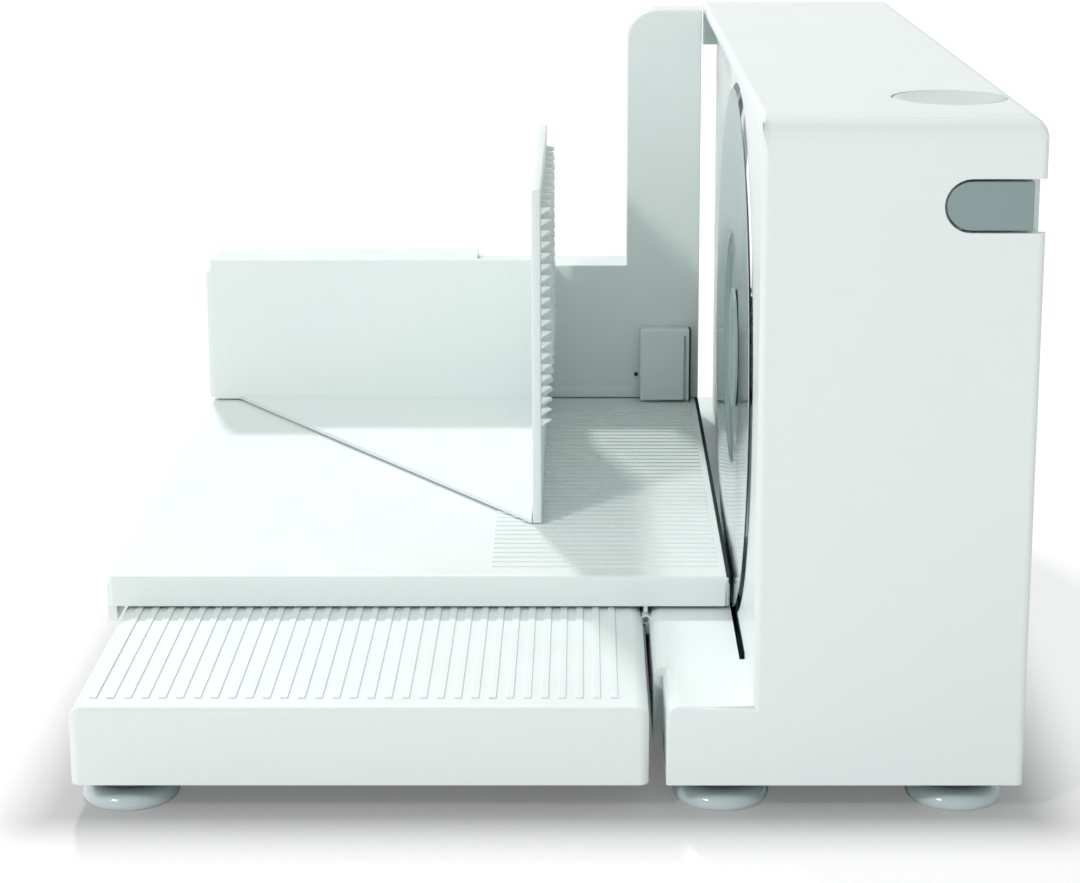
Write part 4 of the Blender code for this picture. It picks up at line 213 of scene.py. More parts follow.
# Repeated pieces
# A geometry node tree puts a small unit on every point and turns it to the point's facing.
def spread_tree():
    """Tree that sets copies of a unit object on points, realizes them and gives them a material."""
    tree = bpy.data.node_groups.new("spread", "GeometryNodeTree")
    tree.is_modifier = True
    sockets = {name: tree.interface.new_socket(name=name, in_out="INPUT", socket_type=f"NodeSocket{kind}")
               for name, kind in (("Points", "Geometry"), ("Unit", "Object"), ("Finish", "Material"))}
    tree.interface.new_socket(name="Geometry", in_out="OUTPUT", socket_type="NodeSocketGeometry")
    kinds = ("NodeGroupInput", "GeometryNodeObjectInfo", "GeometryNodeInputNamedAttribute",
             "FunctionNodeAlignRotationToVector", "GeometryNodeInstanceOnPoints",
             "GeometryNodeRealizeInstances", "GeometryNodeSetMaterial", "NodeGroupOutput")
    start, unit, facing, turn, put, real, paint, end = (tree.nodes.new(kind) for kind in kinds)
    facing.data_type = "FLOAT_VECTOR"
    facing.inputs["Name"].default_value = "facing"
    turn.axis = "Z"
    for source, target in ((start.outputs["Unit"], unit.inputs["Object"]),
                           (facing.outputs["Attribute"], turn.inputs["Vector"]),
                           (turn.outputs["Rotation"], put.inputs["Rotation"]),
                           (start.outputs["Points"], put.inputs["Points"]),
                           (unit.outputs["Geometry"], put.inputs["Instance"]),
                           (put.outputs["Instances"], real.inputs["Geometry"]),
                           (real.outputs["Geometry"], paint.inputs["Geometry"]),
                           (start.outputs["Finish"], paint.inputs["Material"]),
                           (paint.outputs["Geometry"], end.inputs["Geometry"])):
        tree.links.new(source, target)
    return tree, {name: made.identifier for name, made in sockets.items()}


SPREAD, SPREAD_SOCKETS = spread_tree()


def spread(name, unit, places, body, slot):
    """One plain mesh of a unit at each (point, facing) of a list."""
    mesh = bpy.data.meshes.new(f"{name}_points")
    mesh.from_pydata([tuple(point) for point, facing in places], [], [])
    stored = mesh.attributes.new("facing", "FLOAT_VECTOR", "POINT")
    stored.data.foreach_set("vector", [value for point, facing in places for value in facing])
    item = link(name, mesh)
    holder = bpy.data.objects.new(f"{name}_unit", unit)
    modifier = item.modifiers.new("spread", "NODES")
    modifier.node_group = SPREAD
    modifier[SPREAD_SOCKETS["Unit"]] = holder
    modifier[SPREAD_SOCKETS["Finish"]] = MATERIALS[slot]
    settle(item)
    bpy.data.objects.remove(holder)
    smooth(item.data)
    dress(item, body, slot)


# Node groups
# Colour, roughness and normal of each finish come from these, read in the object's own coordinates.
# Each pattern is the scale and the detail of a noise.
UNIT = (0.0, 1.0)
CLOUD = (14, 3)
FINE_GRAIN = (2600, 2)
SCUFFS = (60, 6)
SCUFF_REACH = (0.35, 0.65)
GRAIN_DEPTH = 0.0001
DISC_RINGS = (3000, 4)
DISC_STREAKS = (5, 3)
DISC_DRIFT = 0.0004
DISC_STRETCH = 4.0
DISC_SHADE = 0.5
DISC_ROUGHNESS = (0.04, 0.12)
DISC_GRAIN_DEPTH = 0.00005
DRAWN_LINES = (120, 4)
DRAWN_CLOUD = (90, 3)
ACROSS_X = (30, 1, 1)
ACROSS_Z = (1, 1, 30)
INPUTS = (("Colour", "Color"), ("Shade", "Color"), ("Grain", "Float"))
ROUGHNESS_ENDS = (("Low roughness", "Float"), ("High roughness", "Float"))
OUTPUTS = (("Colour", "Color"), ("Roughness", "Float"), ("Normal", "Vector"))


def new_group(name, inputs, outputs):
    """Shader node group with its sockets and its two end nodes."""
    group = bpy.data.node_groups.new(name, "ShaderNodeTree")
    for in_out, pairs in (("INPUT", inputs), ("OUTPUT", outputs)):
        for title, kind in pairs:
            group.interface.new_socket(name=title, in_out=in_out, socket_type=f"NodeSocket{kind}")
    start = group.nodes.new("NodeGroupInput")
    end = group.nodes.new("NodeGroupOutput")
    start.location = (-900, 0)
    end.location = (700, 0)
    return group, start.outputs, end.inputs


def feed(tree, value, target):
    """Link a socket to an input, or set the input to a constant."""
    if isinstance(value, bpy.types.NodeSocket):
        tree.links.new(value, target)
    else:
        target.default_value = value


def noise(tree, vector, pattern, place):
    """Noise texture on a vector."""
    made = tree.nodes.new("ShaderNodeTexNoise")
    made.location = place
    made.inputs["Scale"].default_value, made.inputs["Detail"].default_value = pattern
    tree.links.new(vector, made.inputs["Vector"])
    return made.outputs["Fac"]


def arithmetic(tree, operation, a, b, place):
    """Maths node of two inputs, each a socket or a number."""
    made = tree.nodes.new("ShaderNodeMath")
    made.operation = operation
    made.location = place
    feed(tree, a, made.inputs[0])
    feed(tree, b, made.inputs[1])
    return made.outputs[0]


def vector_maths(tree, operation, first, second=None):
    """Vector maths node of a socket and, where it takes one, a second socket or vector."""
    made = tree.nodes.new("ShaderNodeVectorMath")
    made.operation = operation
    tree.links.new(first, made.inputs[0])
    if second is not None:
        feed(tree, second, made.inputs[1])
    return made.outputs["Value" if operation == "LENGTH" else "Vector"]


def plane_point(tree, x, y):
    """Vector of two sockets."""
    made = tree.nodes.new("ShaderNodeCombineXYZ")
    tree.links.new(x, made.inputs["X"])
    tree.links.new(y, made.inputs["Y"])
    return made.outputs[0]


def span(tree, value, source, target, place):
    """Map a value from one range to another, whose ends are sockets or numbers."""
    made = tree.nodes.new("ShaderNodeMapRange")
    made.location = place
    for title, end in zip(("From Min", "From Max", "To Min", "To Max"), (*source, *target)):
        feed(tree, end, made.inputs[title])
    tree.links.new(value, made.inputs["Value"])
    return made.outputs["Result"]


def blend(tree, factor, first, second, place):
    """Mix of two colours, each a socket or a constant."""
    made = tree.nodes.new("ShaderNodeMix")
    made.data_type = "RGBA"
    made.location = place
    tree.links.new(factor, made.inputs["Factor"])
    feed(tree, first, made.inputs["A"])
    feed(tree, second, made.inputs["B"])
    return made.outputs["Result"]


def relief(tree, height, strength, depth, place):
    """Normal of a surface that a height pattern roughens."""
    made = tree.nodes.new("ShaderNodeBump")
    made.location = place
    made.inputs["Distance"].default_value = depth
    tree.links.new(strength, made.inputs["Strength"])
    tree.links.new(height, made.inputs["Height"])
    return made.outputs["Normal"]


def moulded_group():
    """Moulded surface: cloudy colour, fine grain, and dull scuffs that follow a coarse pattern."""
    group, given, result = new_group("moulded", INPUTS + ROUGHNESS_ENDS, OUTPUTS)
    place = group.nodes.new("ShaderNodeTexCoord").outputs["Object"]
    cloud = noise(group, place, CLOUD, (-600, 300))
    grain = noise(group, place, FINE_GRAIN, (-600, 0))
    scuff = noise(group, place, SCUFFS, (-600, -300))
    ends = (given["Low roughness"], given["High roughness"])
    colour = blend(group, cloud, given["Colour"], given["Shade"], (300, 300))
    group.links.new(colour, result["Colour"])
    group.links.new(span(group, scuff, SCUFF_REACH, ends, (300, -300)), result["Roughness"])
    group.links.new(relief(group, grain, given["Grain"], GRAIN_DEPTH, (300, 0)), result["Normal"])
    return group


def ground_group():
    """Ground steel disc: fine rings about a centre and faint streaks across them."""
    group, given, result = new_group("ground_disc", INPUTS + (("Centre", "Vector"),),
                                     OUTPUTS + (("Tangent", "Vector"),))
    place = group.nodes.new("ShaderNodeTexCoord").outputs["Object"]
    arm = vector_maths(group, "SUBTRACT", place, given["Centre"])
    length = vector_maths(group, "LENGTH", arm)
    split = group.nodes.new("ShaderNodeSeparateXYZ")
    group.links.new(arm, split.inputs[0])
    angle = arithmetic(group, "ARCTAN2", split.outputs["Z"], split.outputs["Y"], (-500, -200))
    drift = arithmetic(group, "MULTIPLY", angle, DISC_DRIFT, (-300, -200))
    ring = noise(group, plane_point(group, length, drift), DISC_RINGS, (-100, 200))
    stretch = arithmetic(group, "MULTIPLY", length, DISC_STRETCH, (-300, -400))
    streak = noise(group, plane_point(group, angle, stretch), DISC_STREAKS, (-100, -200))
    shade = arithmetic(group, "MULTIPLY_ADD", ring, DISC_SHADE, (100, 200))
    around = vector_maths(group, "CROSS_PRODUCT", arm, RIGHT)
    colour = blend(group, shade, given["Colour"], given["Shade"], (300, 300))
    group.links.new(colour, result["Colour"])
    group.links.new(span(group, streak, UNIT, DISC_ROUGHNESS, (300, -300)), result["Roughness"])
    group.links.new(relief(group, ring, given["Grain"], DISC_GRAIN_DEPTH, (300, 0)), result["Normal"])
    group.links.new(vector_maths(group, "NORMALIZE", around), result["Tangent"])
    return group


def drawn_group():
    """Drawn or wound metal: fine lines along one direction over a cloudy tone."""
    group, given, result = new_group("drawn", INPUTS + (("Direction", "Vector"),) + ROUGHNESS_ENDS, OUTPUTS)
    place = group.nodes.new("ShaderNodeTexCoord").outputs["Object"]
    stretched = vector_maths(group, "MULTIPLY", place, given["Direction"])
    lines = noise(group, stretched, DRAWN_LINES, (-300, 200))
    cloud = noise(group, place, DRAWN_CLOUD, (-300, -200))
    ends = (given["Low roughness"], given["High roughness"])
    colour = blend(group, cloud, given["Colour"], given["Shade"], (300, 300))
    group.links.new(colour, result["Colour"])
    group.links.new(span(group, lines, UNIT, ends, (300, -300)), result["Roughness"])
    group.links.new(relief(group, lines, given["Grain"], GRAIN_DEPTH, (300, 0)), result["Normal"])
    return group


GROUPS = {"moulded": moulded_group(), "ground": ground_group(), "drawn": drawn_group()}


# Materials
# Each slot has one material: a group gives colour, roughness and normal, the shader keeps its constants.
DISC_ANISOTROPY = 0.6
COAT_ROUGHNESS = 0.1
PLASTIC_IOR = 1.5


def finish(name, group, metallic=0.0, coat=0.0, ior=PLASTIC_IOR, **values):
    """Material of one slot from a group's outputs and the shader's own constants."""
    made = bpy.data.materials.new(name)
    made.use_nodes = True
    tree = made.node_tree
    shader = tree.nodes["Principled BSDF"]
    source = tree.nodes.new("ShaderNodeGroup")
    source.node_tree = GROUPS[group]
    source.location = (-400, 100)
    for key, value in values.items():
        source.inputs[key.replace("_", " ")].default_value = value
    tree.links.new(source.outputs["Colour"], shader.inputs["Base Color"])
    tree.links.new(source.outputs["Roughness"], shader.inputs["Roughness"])
    tree.links.new(source.outputs["Normal"], shader.inputs["Normal"])
    if "Tangent" in source.outputs:
        tree.links.new(source.outputs["Tangent"], shader.inputs["Tangent"])
        shader.inputs["Anisotropic"].default_value = DISC_ANISOTROPY
    shader.inputs["Metallic"].default_value = metallic
    shader.inputs["IOR"].default_value = ior
    shader.inputs["Coat Weight"].default_value = coat
    shader.inputs["Coat Roughness"].default_value = COAT_ROUGHNESS
    return made


def tone(red, green, blue):
    """Opaque colour."""
    return (red, green, blue, 1.0)


MATERIALS = {
    "white_plastic": finish("white_plastic", "moulded", Colour=tone(0.825, 0.90, 0.88),
                            Shade=tone(0.805, 0.885, 0.865), Grain=0.10,
                            Low_roughness=0.28, High_roughness=0.36),
    "table_plastic": finish("table_plastic", "moulded", Colour=tone(0.815, 0.885, 0.865),
                            Shade=tone(0.795, 0.87, 0.85), Grain=0.12,
                            Low_roughness=0.30, High_roughness=0.40),
    "grey_plastic": finish("grey_plastic", "moulded", Colour=tone(0.27, 0.36, 0.355),
                           Shade=tone(0.24, 0.33, 0.325), Grain=0.20,
                           Low_roughness=0.35, High_roughness=0.48),
    "button_plastic": finish("button_plastic", "moulded", Colour=tone(0.62, 0.70, 0.69),
                             Shade=tone(0.58, 0.67, 0.66), Grain=0.15,
                             Low_roughness=0.30, High_roughness=0.42),
    "gear_plastic": finish("gear_plastic", "moulded", Colour=tone(0.80, 0.78, 0.69),
                           Shade=tone(0.74, 0.72, 0.62), Grain=0.15, Low_roughness=0.32, High_roughness=0.5),
    "black_plastic": finish("black_plastic", "moulded", Colour=tone(0.025, 0.025, 0.028),
                            Shade=tone(0.04, 0.04, 0.042), Grain=0.25,
                            Low_roughness=0.4, High_roughness=0.55),
    # Flat dark finish without reflection: painted shade for gaps, slits and a hole.
    "painted_gap_shade": finish("painted_gap_shade", "moulded", ior=1.0, Colour=tone(0.05, 0.07, 0.07),
                       Shade=tone(0.03, 0.045, 0.045), Grain=0.1, Low_roughness=0.9, High_roughness=1.0),
    "foot_rubber": finish("foot_rubber", "moulded", coat=0.6, Colour=tone(0.56, 0.66, 0.67),
                          Shade=tone(0.50, 0.60, 0.61), Grain=0.05, Low_roughness=0.12, High_roughness=0.2),
    "blade_steel": finish("blade_steel", "ground", metallic=1.0, Colour=tone(0.74, 0.80, 0.795),
                          Shade=tone(0.60, 0.67, 0.665), Centre=BLADE_CENTRE, Grain=0.25),
    "shaft_steel": finish("shaft_steel", "drawn", metallic=1.0, Colour=tone(0.58, 0.60, 0.61),
                          Shade=tone(0.46, 0.48, 0.49), Direction=ACROSS_Z, Grain=0.10,
                          Low_roughness=0.2, High_roughness=0.34),
    "can_steel": finish("can_steel", "drawn", metallic=1.0, Colour=tone(0.50, 0.51, 0.49),
                        Shade=tone(0.40, 0.41, 0.38), Direction=ACROSS_Z, Grain=0.12,
                        Low_roughness=0.3, High_roughness=0.45),
    "brass": finish("brass", "drawn", metallic=1.0, Colour=tone(0.72, 0.53, 0.26),
                    Shade=tone(0.60, 0.42, 0.19), Direction=ACROSS_Z, Grain=0.12,
                    Low_roughness=0.24, High_roughness=0.4),
    "copper": finish("copper", "drawn", metallic=1.0, coat=0.4, Colour=tone(0.72, 0.33, 0.17),
                     Shade=tone(0.55, 0.22, 0.10), Direction=ACROSS_X, Grain=0.6,
                     Low_roughness=0.25, High_roughness=0.4),
}


def carry_over():
    """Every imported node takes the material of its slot."""
    for name, node in frame["nodes"].items():
        node.data.materials.clear()
        node.data.materials.append(MATERIALS[SLOT_OF[name]])


carry_over()


# Mouldings
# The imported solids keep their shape; their long edges get the small rounding of a moulding.
MOULDING_ROUNDING = {
    "body_shell": 0.0006, "side_cover": 0.0004, "post_cover": 0.0004, "bottom_plate": 0.0003,
    "left_panel": 0.0002, "carriage_table": 0.0002, "carriage_wall": 0.0006, "catch_block": 0.0004,
    "holder_frame": 0.0005, "stop_plate": 0.0005, "switch_paddle": 0.0002,
    "guide_shoe": 0.0002, "cord_gland": 0.0003,
}
for moulding, rounding in MOULDING_ROUNDING.items():
    refined(moulding, rounding)


# Toothed plate
# The plate has a level top with rounded corners; rows of small teeth lean up from its face.
PLATE_DROP = 0.0090
PLATE_BACK_STEP = 0.0160
PLATE_NEAR_ROUND = 0.0040
PLATE_FAR_ROUND = 0.0070
PLATE_EDGE = 0.0005
PLATE_SKIN = 0.0035
TOOTH_PITCH = 0.0039
TOOTH_COLUMN_PITCH = 0.0070
TOOTH_REACH = 0.0035
TOOTH_HALF = 0.0013
TOOTH_HEEL = TOOTH_HALF * 1.2
TOOTH_TIP = TOOTH_HALF / 3
TOOTH_TOP_MARGIN = 0.0080
TOOTH_ROWS = 20
TOOTH_COLUMNS = 22
NEAR_STEPS = 5
FAR_STEPS = 6


def tooth():
    """Small four-sided tooth whose tip leans up; its base lies in the plate's face."""
    def build(work):
        ring = [work.verts.new(point) for point in
                ((-TOOTH_HEEL, -TOOTH_HALF, -PLATE_EDGE), (TOOTH_HALF, -TOOTH_HALF, -PLATE_EDGE),
                 (TOOTH_HALF, TOOTH_HALF, -PLATE_EDGE), (-TOOTH_HEEL, TOOTH_HALF, -PLATE_EDGE))]
        tip = [work.verts.new((-TOOTH_HALF, y, TOOTH_REACH)) for y in (-TOOTH_TIP, TOOTH_TIP)]
        for corners in ((ring[0], ring[1], tip[0]), (ring[1], ring[2], tip[1], tip[0]),
                        (ring[2], ring[3], tip[1]), (ring[3], ring[0], tip[0], tip[1]), tuple(ring[::-1])):
            work.faces.new(corners)
    return mesh_of("tooth", build)


def toothed_plate():
    """Plate of the food holder and its staggered teeth."""
    low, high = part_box("tooth_plate")
    frame_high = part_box("holder_frame")[1]
    face = frame_high.x + PLATE_SKIN
    top = high.z - PLATE_DROP
    far = high.y - PLATE_BACK_STEP
    outline = [(low.y, low.z)]
    outline += corner((low.y, top - PLATE_NEAR_ROUND), (low.y, top), (low.y + PLATE_NEAR_ROUND, top),
                      NEAR_STEPS)
    outline += corner((far - PLATE_FAR_ROUND, top), (far, top), (far, top - PLATE_FAR_ROUND), FAR_STEPS)
    outline += corner((far, frame_high.z + PLATE_FAR_ROUND), (far, frame_high.z),
                      (far + PLATE_FAR_ROUND, frame_high.z), FAR_STEPS)
    outline += [(high.y, frame_high.z), (high.y, low.z)]

    def build(work):
        ring = [work.verts.new((low.x, y, z)) for y, z in outline]
        sheet = work.faces.new(ring)
        grown = bmesh.ops.extrude_face_region(work, geom=[sheet])["geom"]
        bmesh.ops.translate(work, vec=(face - low.x, 0, 0),
                            verts=[part for part in grown if isinstance(part, bmesh.types.BMVert)])
        rims = [edge for edge in work.edges if edge.calc_face_angle(0) > SHARP_EDGE]
        round_off(work, rims, PLATE_EDGE)

    mesh = mesh_of("toothed_plate", build)
    smooth(mesh)
    dress(link("toothed_plate", mesh), "food_holder", "table_plastic", "tooth_plate")
    places = []
    for column in range(TOOTH_COLUMNS):
        y = low.y + TOOTH_HALF + PLATE_EDGE + column * TOOTH_COLUMN_PITCH
        for row in range(TOOTH_ROWS):
            z = top - TOOTH_TOP_MARGIN - (row + (column % 2) / 2) * TOOTH_PITCH
            places.append(((face, y, z), RIGHT))
    spread("teeth", tooth(), places, "food_holder", "table_plastic")


toothed_plate()


# Painted shade in gaps
# Dark sheets of painted shade stand in the blade's slit, along the table's edge beside the blade and beside the
# catch.
SHADE_SHEET = 0.0002
SLIT_LEFT = -0.0016
SLIT_WIDTH = 0.0020
SLIT_DEPTH = 0.0041
SLIT_DROP = 0.0005
SLIT_ENDS = (-0.15165, 0.12735)
EDGE_SHADE_WIDTH = 0.0012
EDGE_SHADE_HEIGHT = 0.0030


def painted_shade_linings():
    """Sheets of painted shade in the slit in the base, at the table's edge and in the gap beside the catch."""
    left = BLADE_CENTRE.x + SLIT_LEFT
    right = left + SLIT_WIDTH
    panel_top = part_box("left_panel")[1].z - SLIT_DROP
    near, far = SLIT_ENDS
    floor_z = panel_top - SLIT_DEPTH
    # The slit's floor and walls are painted shade.
    for name, low_x, high_x, high_z in (("slit_floor", left, right, floor_z + SHADE_SHEET),
                                        ("slit_left", left, left + SHADE_SHEET, panel_top - SHADE_SHEET),
                                        ("slit_right", right - SHADE_SHEET, right, panel_top - SHADE_SHEET)):
        strip = block(name, (low_x, near, floor_z), (high_x, far, high_z), SHADE_SHEET / 4)
        dress(strip, "main_body", "black_plastic", paint="painted_gap_shade")
    low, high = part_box("carriage_table")
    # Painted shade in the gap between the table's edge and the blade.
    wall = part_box("carriage_wall")[0]
    start = (high.x - EDGE_SHADE_WIDTH, low.y + EDGE_SHADE_WIDTH / 2, high.z - EDGE_SHADE_HEIGHT)
    end = (high.x + SHADE_SHEET / 10, wall.y, high.z + SHADE_SHEET / 2)
    edge = block("table_edge", start, end, SHADE_SHEET / 2)
    dress(edge, "carriage", "black_plastic", paint="painted_gap_shade")
    # Painted shade in the gap beside the catch.
    low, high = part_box("catch_block")
    start = (high.x - SHADE_SHEET, low.y + SHADE_SHEET, low.z)
    end = (high.x + 3 * SHADE_SHEET, wall.y + SHADE_SHEET, high.z - SHADE_SHEET)
    gap = block("catch_gap", start, end, SHADE_SHEET / 2)
    dress(gap, "carriage", "black_plastic", paint="painted_gap_shade")


painted_shade_linings()


# Catch
# A thin foot strip runs along the wall's bottom to the catch, with a dark disc of painted shade for a small pin
# hole above it.
STRIP_START = 0.004
STRIP_END = 0.001
STRIP_FRONT = 0.00025
STRIP_SINK = 0.001
STRIP_HEIGHT = 0.0042
STRIP_ROUND = 0.0002
PIN_RADIUS = 0.0009
PIN_DEPTH = 0.0003
PIN_SIDES = 24
PIN_LEFT = 0.0015
PIN_FRONT = 0.0002
PIN_RISE = 0.0098


def catch_trim():
    """Foot strip of the wall and a dark disc of painted shade in the place of its pin hole."""
    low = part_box("catch_block")[0]
    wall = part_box("carriage_wall")[0]
    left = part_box("holder_frame")[1].x + STRIP_START
    start = (left, wall.y - STRIP_FRONT, low.z)
    end = (low.x - STRIP_END, wall.y + STRIP_SINK, low.z + STRIP_HEIGHT)
    dress(block("foot_strip", start, end, STRIP_ROUND), "carriage", "white_plastic")
    # Dark disc of painted shade where the pin hole lies.
    disc = [(0.0, 0.0), (PIN_RADIUS, 0.0), (PIN_RADIUS, PIN_DEPTH), (0.0, PIN_DEPTH)]
    place = (low.x - PIN_LEFT, wall.y - PIN_FRONT, low.z + PIN_RISE)
    dress(turned("pin_hole", "Y", place, disc, PIN_SIDES), "carriage", "black_plastic", paint="painted_gap_shade")


catch_trim()


# Suction feet
# A neck under the base runs out into a thin cup whose rim lies on the floor; the neck is black as painted shade
# under the base.
# The points are shares of the rim's radius and of the foot's height.
FEET = [node for node in BODY_OF if node.startswith("foot_")]
FOOT_SIDES = 72
WAIST = (0.60, 0.60)
NECK_TOP = ((0, 1), (0.96, 1), (0.98, 0.90))
NECK_CURVE = ((0.97, 0.84), (0.90, 0.64), WAIST)
NECK_STEPS = 5
NECK_END = ((0, 0.60),)
CUP_TOP = ((0, 0.58), WAIST)
CUP_CURVES = ((((0.70, 0.56), (0.95, 0.48), (0.99, 0.20)), 7),
              (((1, 0.16), (0.99, 0.0), (0.93, 0.0)), 4),
              (((0.82, 0.0), (0.6, 0.22), (0, 0.26)), 6))


def suction_foot(node):
    """Smooth cup and its neck, black as painted shade under the base, in the place of a packed foot."""
    low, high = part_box(node)
    middle = (low + high) / 2
    rim = (high.x - low.x) / 2
    rise = high.z - low.z

    def sized(points):
        return [(rim * across, rise * up) for across, up in points]

    neck = sized(NECK_TOP) + corner(*sized(NECK_CURVE), NECK_STEPS) + sized(NECK_END)
    cup = sized(CUP_TOP)
    for curve, steps in CUP_CURVES:
        cup += corner(*sized(curve), steps)
    place = (middle.x, middle.y, low.z)
    # The neck's black is painted shade under the base.
    dress(turned(f"{node}_neck", "Z", place, neck, FOOT_SIDES), BODY_OF[node], "black_plastic")
    dress(turned(f"{node}_cup", "Z", place, cup, FOOT_SIDES), BODY_OF[node], SLOT_OF[node], node)


for foot_node in FEET:
    suction_foot(foot_node)


# Blade
# A dished disc with a ground bevel, the fixed lip behind its rim, and the turn lock in its middle.
BLADE_SIDES = 180
BLADE_STEEL = 0.0012
BLADE_BORE = 0.0085
BLADE_STEP = 0.036
BLADE_BEVEL = 0.006
BLADE_LAND = 0.0022
DISH_STEPS = 3
DISH_RUN = (1.6, 2.6)
DISH_BACK = 2
RING_GAP = 0.0004
RING_WIDTH = 0.0025
RING_DEPTH = 0.0020
LOCK_ROUNDING = 0.0002


def blade():
    """Disc with its dish, the step to the rim and the bevel on the slice side."""
    low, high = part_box("blade_disc")
    radius = (high.z - low.z) / 2
    left = low.x - BLADE_CENTRE.x
    dish = high.x - low.x - BLADE_STEEL
    near, far = (BLADE_STEP + share * dish for share in DISH_RUN)
    middle = (BLADE_STEP + dish, left + dish / 2)
    shoulder = (BLADE_STEP - dish, left + dish)
    profile = [(BLADE_BORE, left + dish), shoulder]
    profile += corner(shoulder, (BLADE_STEP, left + dish), middle, DISH_STEPS)
    profile += corner(middle, (near, left), (far, left), DISH_STEPS)
    profile += [(radius - BLADE_LAND, left), (radius, left), (radius, left + BLADE_STEEL / 6)]
    profile += [(radius - BLADE_BEVEL, left + BLADE_STEEL)]
    profile += [(BLADE_STEP + DISH_BACK * dish, left + BLADE_STEEL), (BLADE_STEP, left + dish + BLADE_STEEL)]
    profile += [(BLADE_BORE, left + dish + BLADE_STEEL), (BLADE_BORE, left + dish)]
    item = turned("blade_ground", "X", BLADE_CENTRE, profile, BLADE_SIDES)
    dress(item, "blade", "blade_steel", "blade_disc")


def backing_ring():
    """Fixed lip behind the blade's rim that closes the gap to the housing."""
    low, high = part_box("blade_disc")
    radius = (high.z - low.z) / 2
    start = high.x - BLADE_CENTRE.x + RING_GAP
    outer = radius - RING_GAP
    profile = [(outer - RING_WIDTH, start), (outer, start), (outer, start + RING_DEPTH),
               (outer - RING_WIDTH, start + RING_DEPTH), (outer - RING_WIDTH, start)]
    dress(turned("backing_ring", "X", BLADE_CENTRE, profile, BLADE_SIDES), "main_body", "white_plastic")


blade()
backing_ring()
refined("centre_lock", LOCK_ROUNDING)


# Push button
# A dished cap in the roof with a raised rim, over a skirt and a stem.
CAP_LIP = 0.0012
CAP_DISH = 0.0007
CAP_SKIN = 0.0022
CAP_SHELF = 0.0034
CAP_SKIRT = 0.0045
CAP_STEM = 0.002
CAP_SIDES = 96
CAP_HOLLOW = ((0.5, 0.85), (0.82, 0.3))
CAP_RIM = (0.88, 0.98)
CAP_STEPS = 5


def push_button():
    """Cap, skirt and stem of the button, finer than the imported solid."""
    low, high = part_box("top_button")
    middle = (low + high) / 2
    flange = (high.x - low.x) / 2
    radius = flange - CAP_LIP
    top = high.z
    inside = top - CAP_DISH - CAP_SKIN
    profile = [(0, top - CAP_DISH)]
    profile += [(radius * across, top - CAP_DISH * down) for across, down in CAP_HOLLOW]
    rise, crest = (radius * share for share in CAP_RIM)
    profile += corner((rise, top), (crest, top), (radius, top - CAP_DISH), CAP_STEPS)
    profile += [(radius, top - CAP_SHELF), (flange, top - CAP_SHELF), (flange, top - CAP_SKIRT)]
    profile += [(radius - CAP_SKIN, top - CAP_SKIRT), (radius - CAP_SKIN, inside)]
    profile += [(CAP_STEM, inside), (CAP_STEM, low.z), (0, low.z)]
    item = turned("button_cap", "Z", (middle.x, middle.y, 0), profile, CAP_SIDES)
    dress(item, "lock_button", "button_plastic", "top_button")


push_button()


# Button spring
# A finer coil in the place of the imported one.
SPRING_TURNS = 5
SPRING_STEPS = 28
WIRE_SIDES = 10
WIRE_RADIUS = 0.0004


def button_spring():
    """Round wire wound up between the shelf and the button."""
    low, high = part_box("button_spring")
    middle = (low + high) / 2
    radius = (high.x - low.x) / 2 - WIRE_RADIUS
    count = SPRING_TURNS * SPRING_STEPS
    rise = high.z - low.z - 2 * WIRE_RADIUS

    def build(work):
        rings = []
        for step in range(count + 1):
            angle = 2 * math.pi * step / SPRING_STEPS
            out = Vector((math.cos(angle), math.sin(angle), 0))
            centre = Vector((middle.x, middle.y, low.z + WIRE_RADIUS + rise * step / count)) + out * radius
            rings.append([
                work.verts.new(centre + WIRE_RADIUS * (out * math.cos(turn) + Vector((0, 0, math.sin(turn)))))
                for turn in (2 * math.pi * side / WIRE_SIDES for side in range(WIRE_SIDES))])
        for first, second in zip(rings, rings[1:]):
            for side in range(WIRE_SIDES):
                after = (side + 1) % WIRE_SIDES
                work.faces.new((first[side], first[after], second[after], second[side]))
        work.faces.new(rings[0])
        work.faces.new(rings[-1])

    mesh = mesh_of("spring_wire", build)
    smooth(mesh)
    item = dress(link("spring_wire", mesh), "main_body", "shaft_steel", "button_spring")
    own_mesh(item)


button_spring()


# Screws
# Low cross heads hold the covers and the bottom plate.
# The dome's points are shares of the head's radius and rise.
HEAD_RADIUS = 0.0030
HEAD_RISE = 0.0004
CROSS_LENGTH = 0.0019
CROSS_WIDTH = 0.0005
HEAD_SIDES = 36
HEAD_DOME = ((0, 1), (0.6, 0.9), (0.93, 0.4), (1, 0), (1, -2), (0, -2))
COVER_INSETS = (("side_cover", 0.0055), ("post_cover", 0.0060))
COVER_WITHOUT = (("side_cover", 0, 1),)
BOTTOM_INSET = (0.008, 0.045)


def screw_head():
    """Low domed head with a cross recess, its top along +Z."""
    dome = [(HEAD_RADIUS * across, HEAD_RISE * up) for across, up in HEAD_DOME]
    head = turned("screw_head", "Z", (0, 0, 0), dome, HEAD_SIDES)
    for number, (x, y) in enumerate(((CROSS_LENGTH, CROSS_WIDTH), (CROSS_WIDTH, CROSS_LENGTH))):
        cutter = block(f"cross_{number}", (-x, -y, -HEAD_RISE), (x, y, HEAD_RISE * 2), CROSS_WIDTH / 8)
        cut = head.modifiers.new("cross", "BOOLEAN")
        cut.solver = "EXACT"
        cut.operation = "DIFFERENCE"
        cut.object = cutter
        settle(head)
        bpy.data.objects.remove(cutter)
    unit = head.data
    bpy.data.objects.remove(head)
    return unit


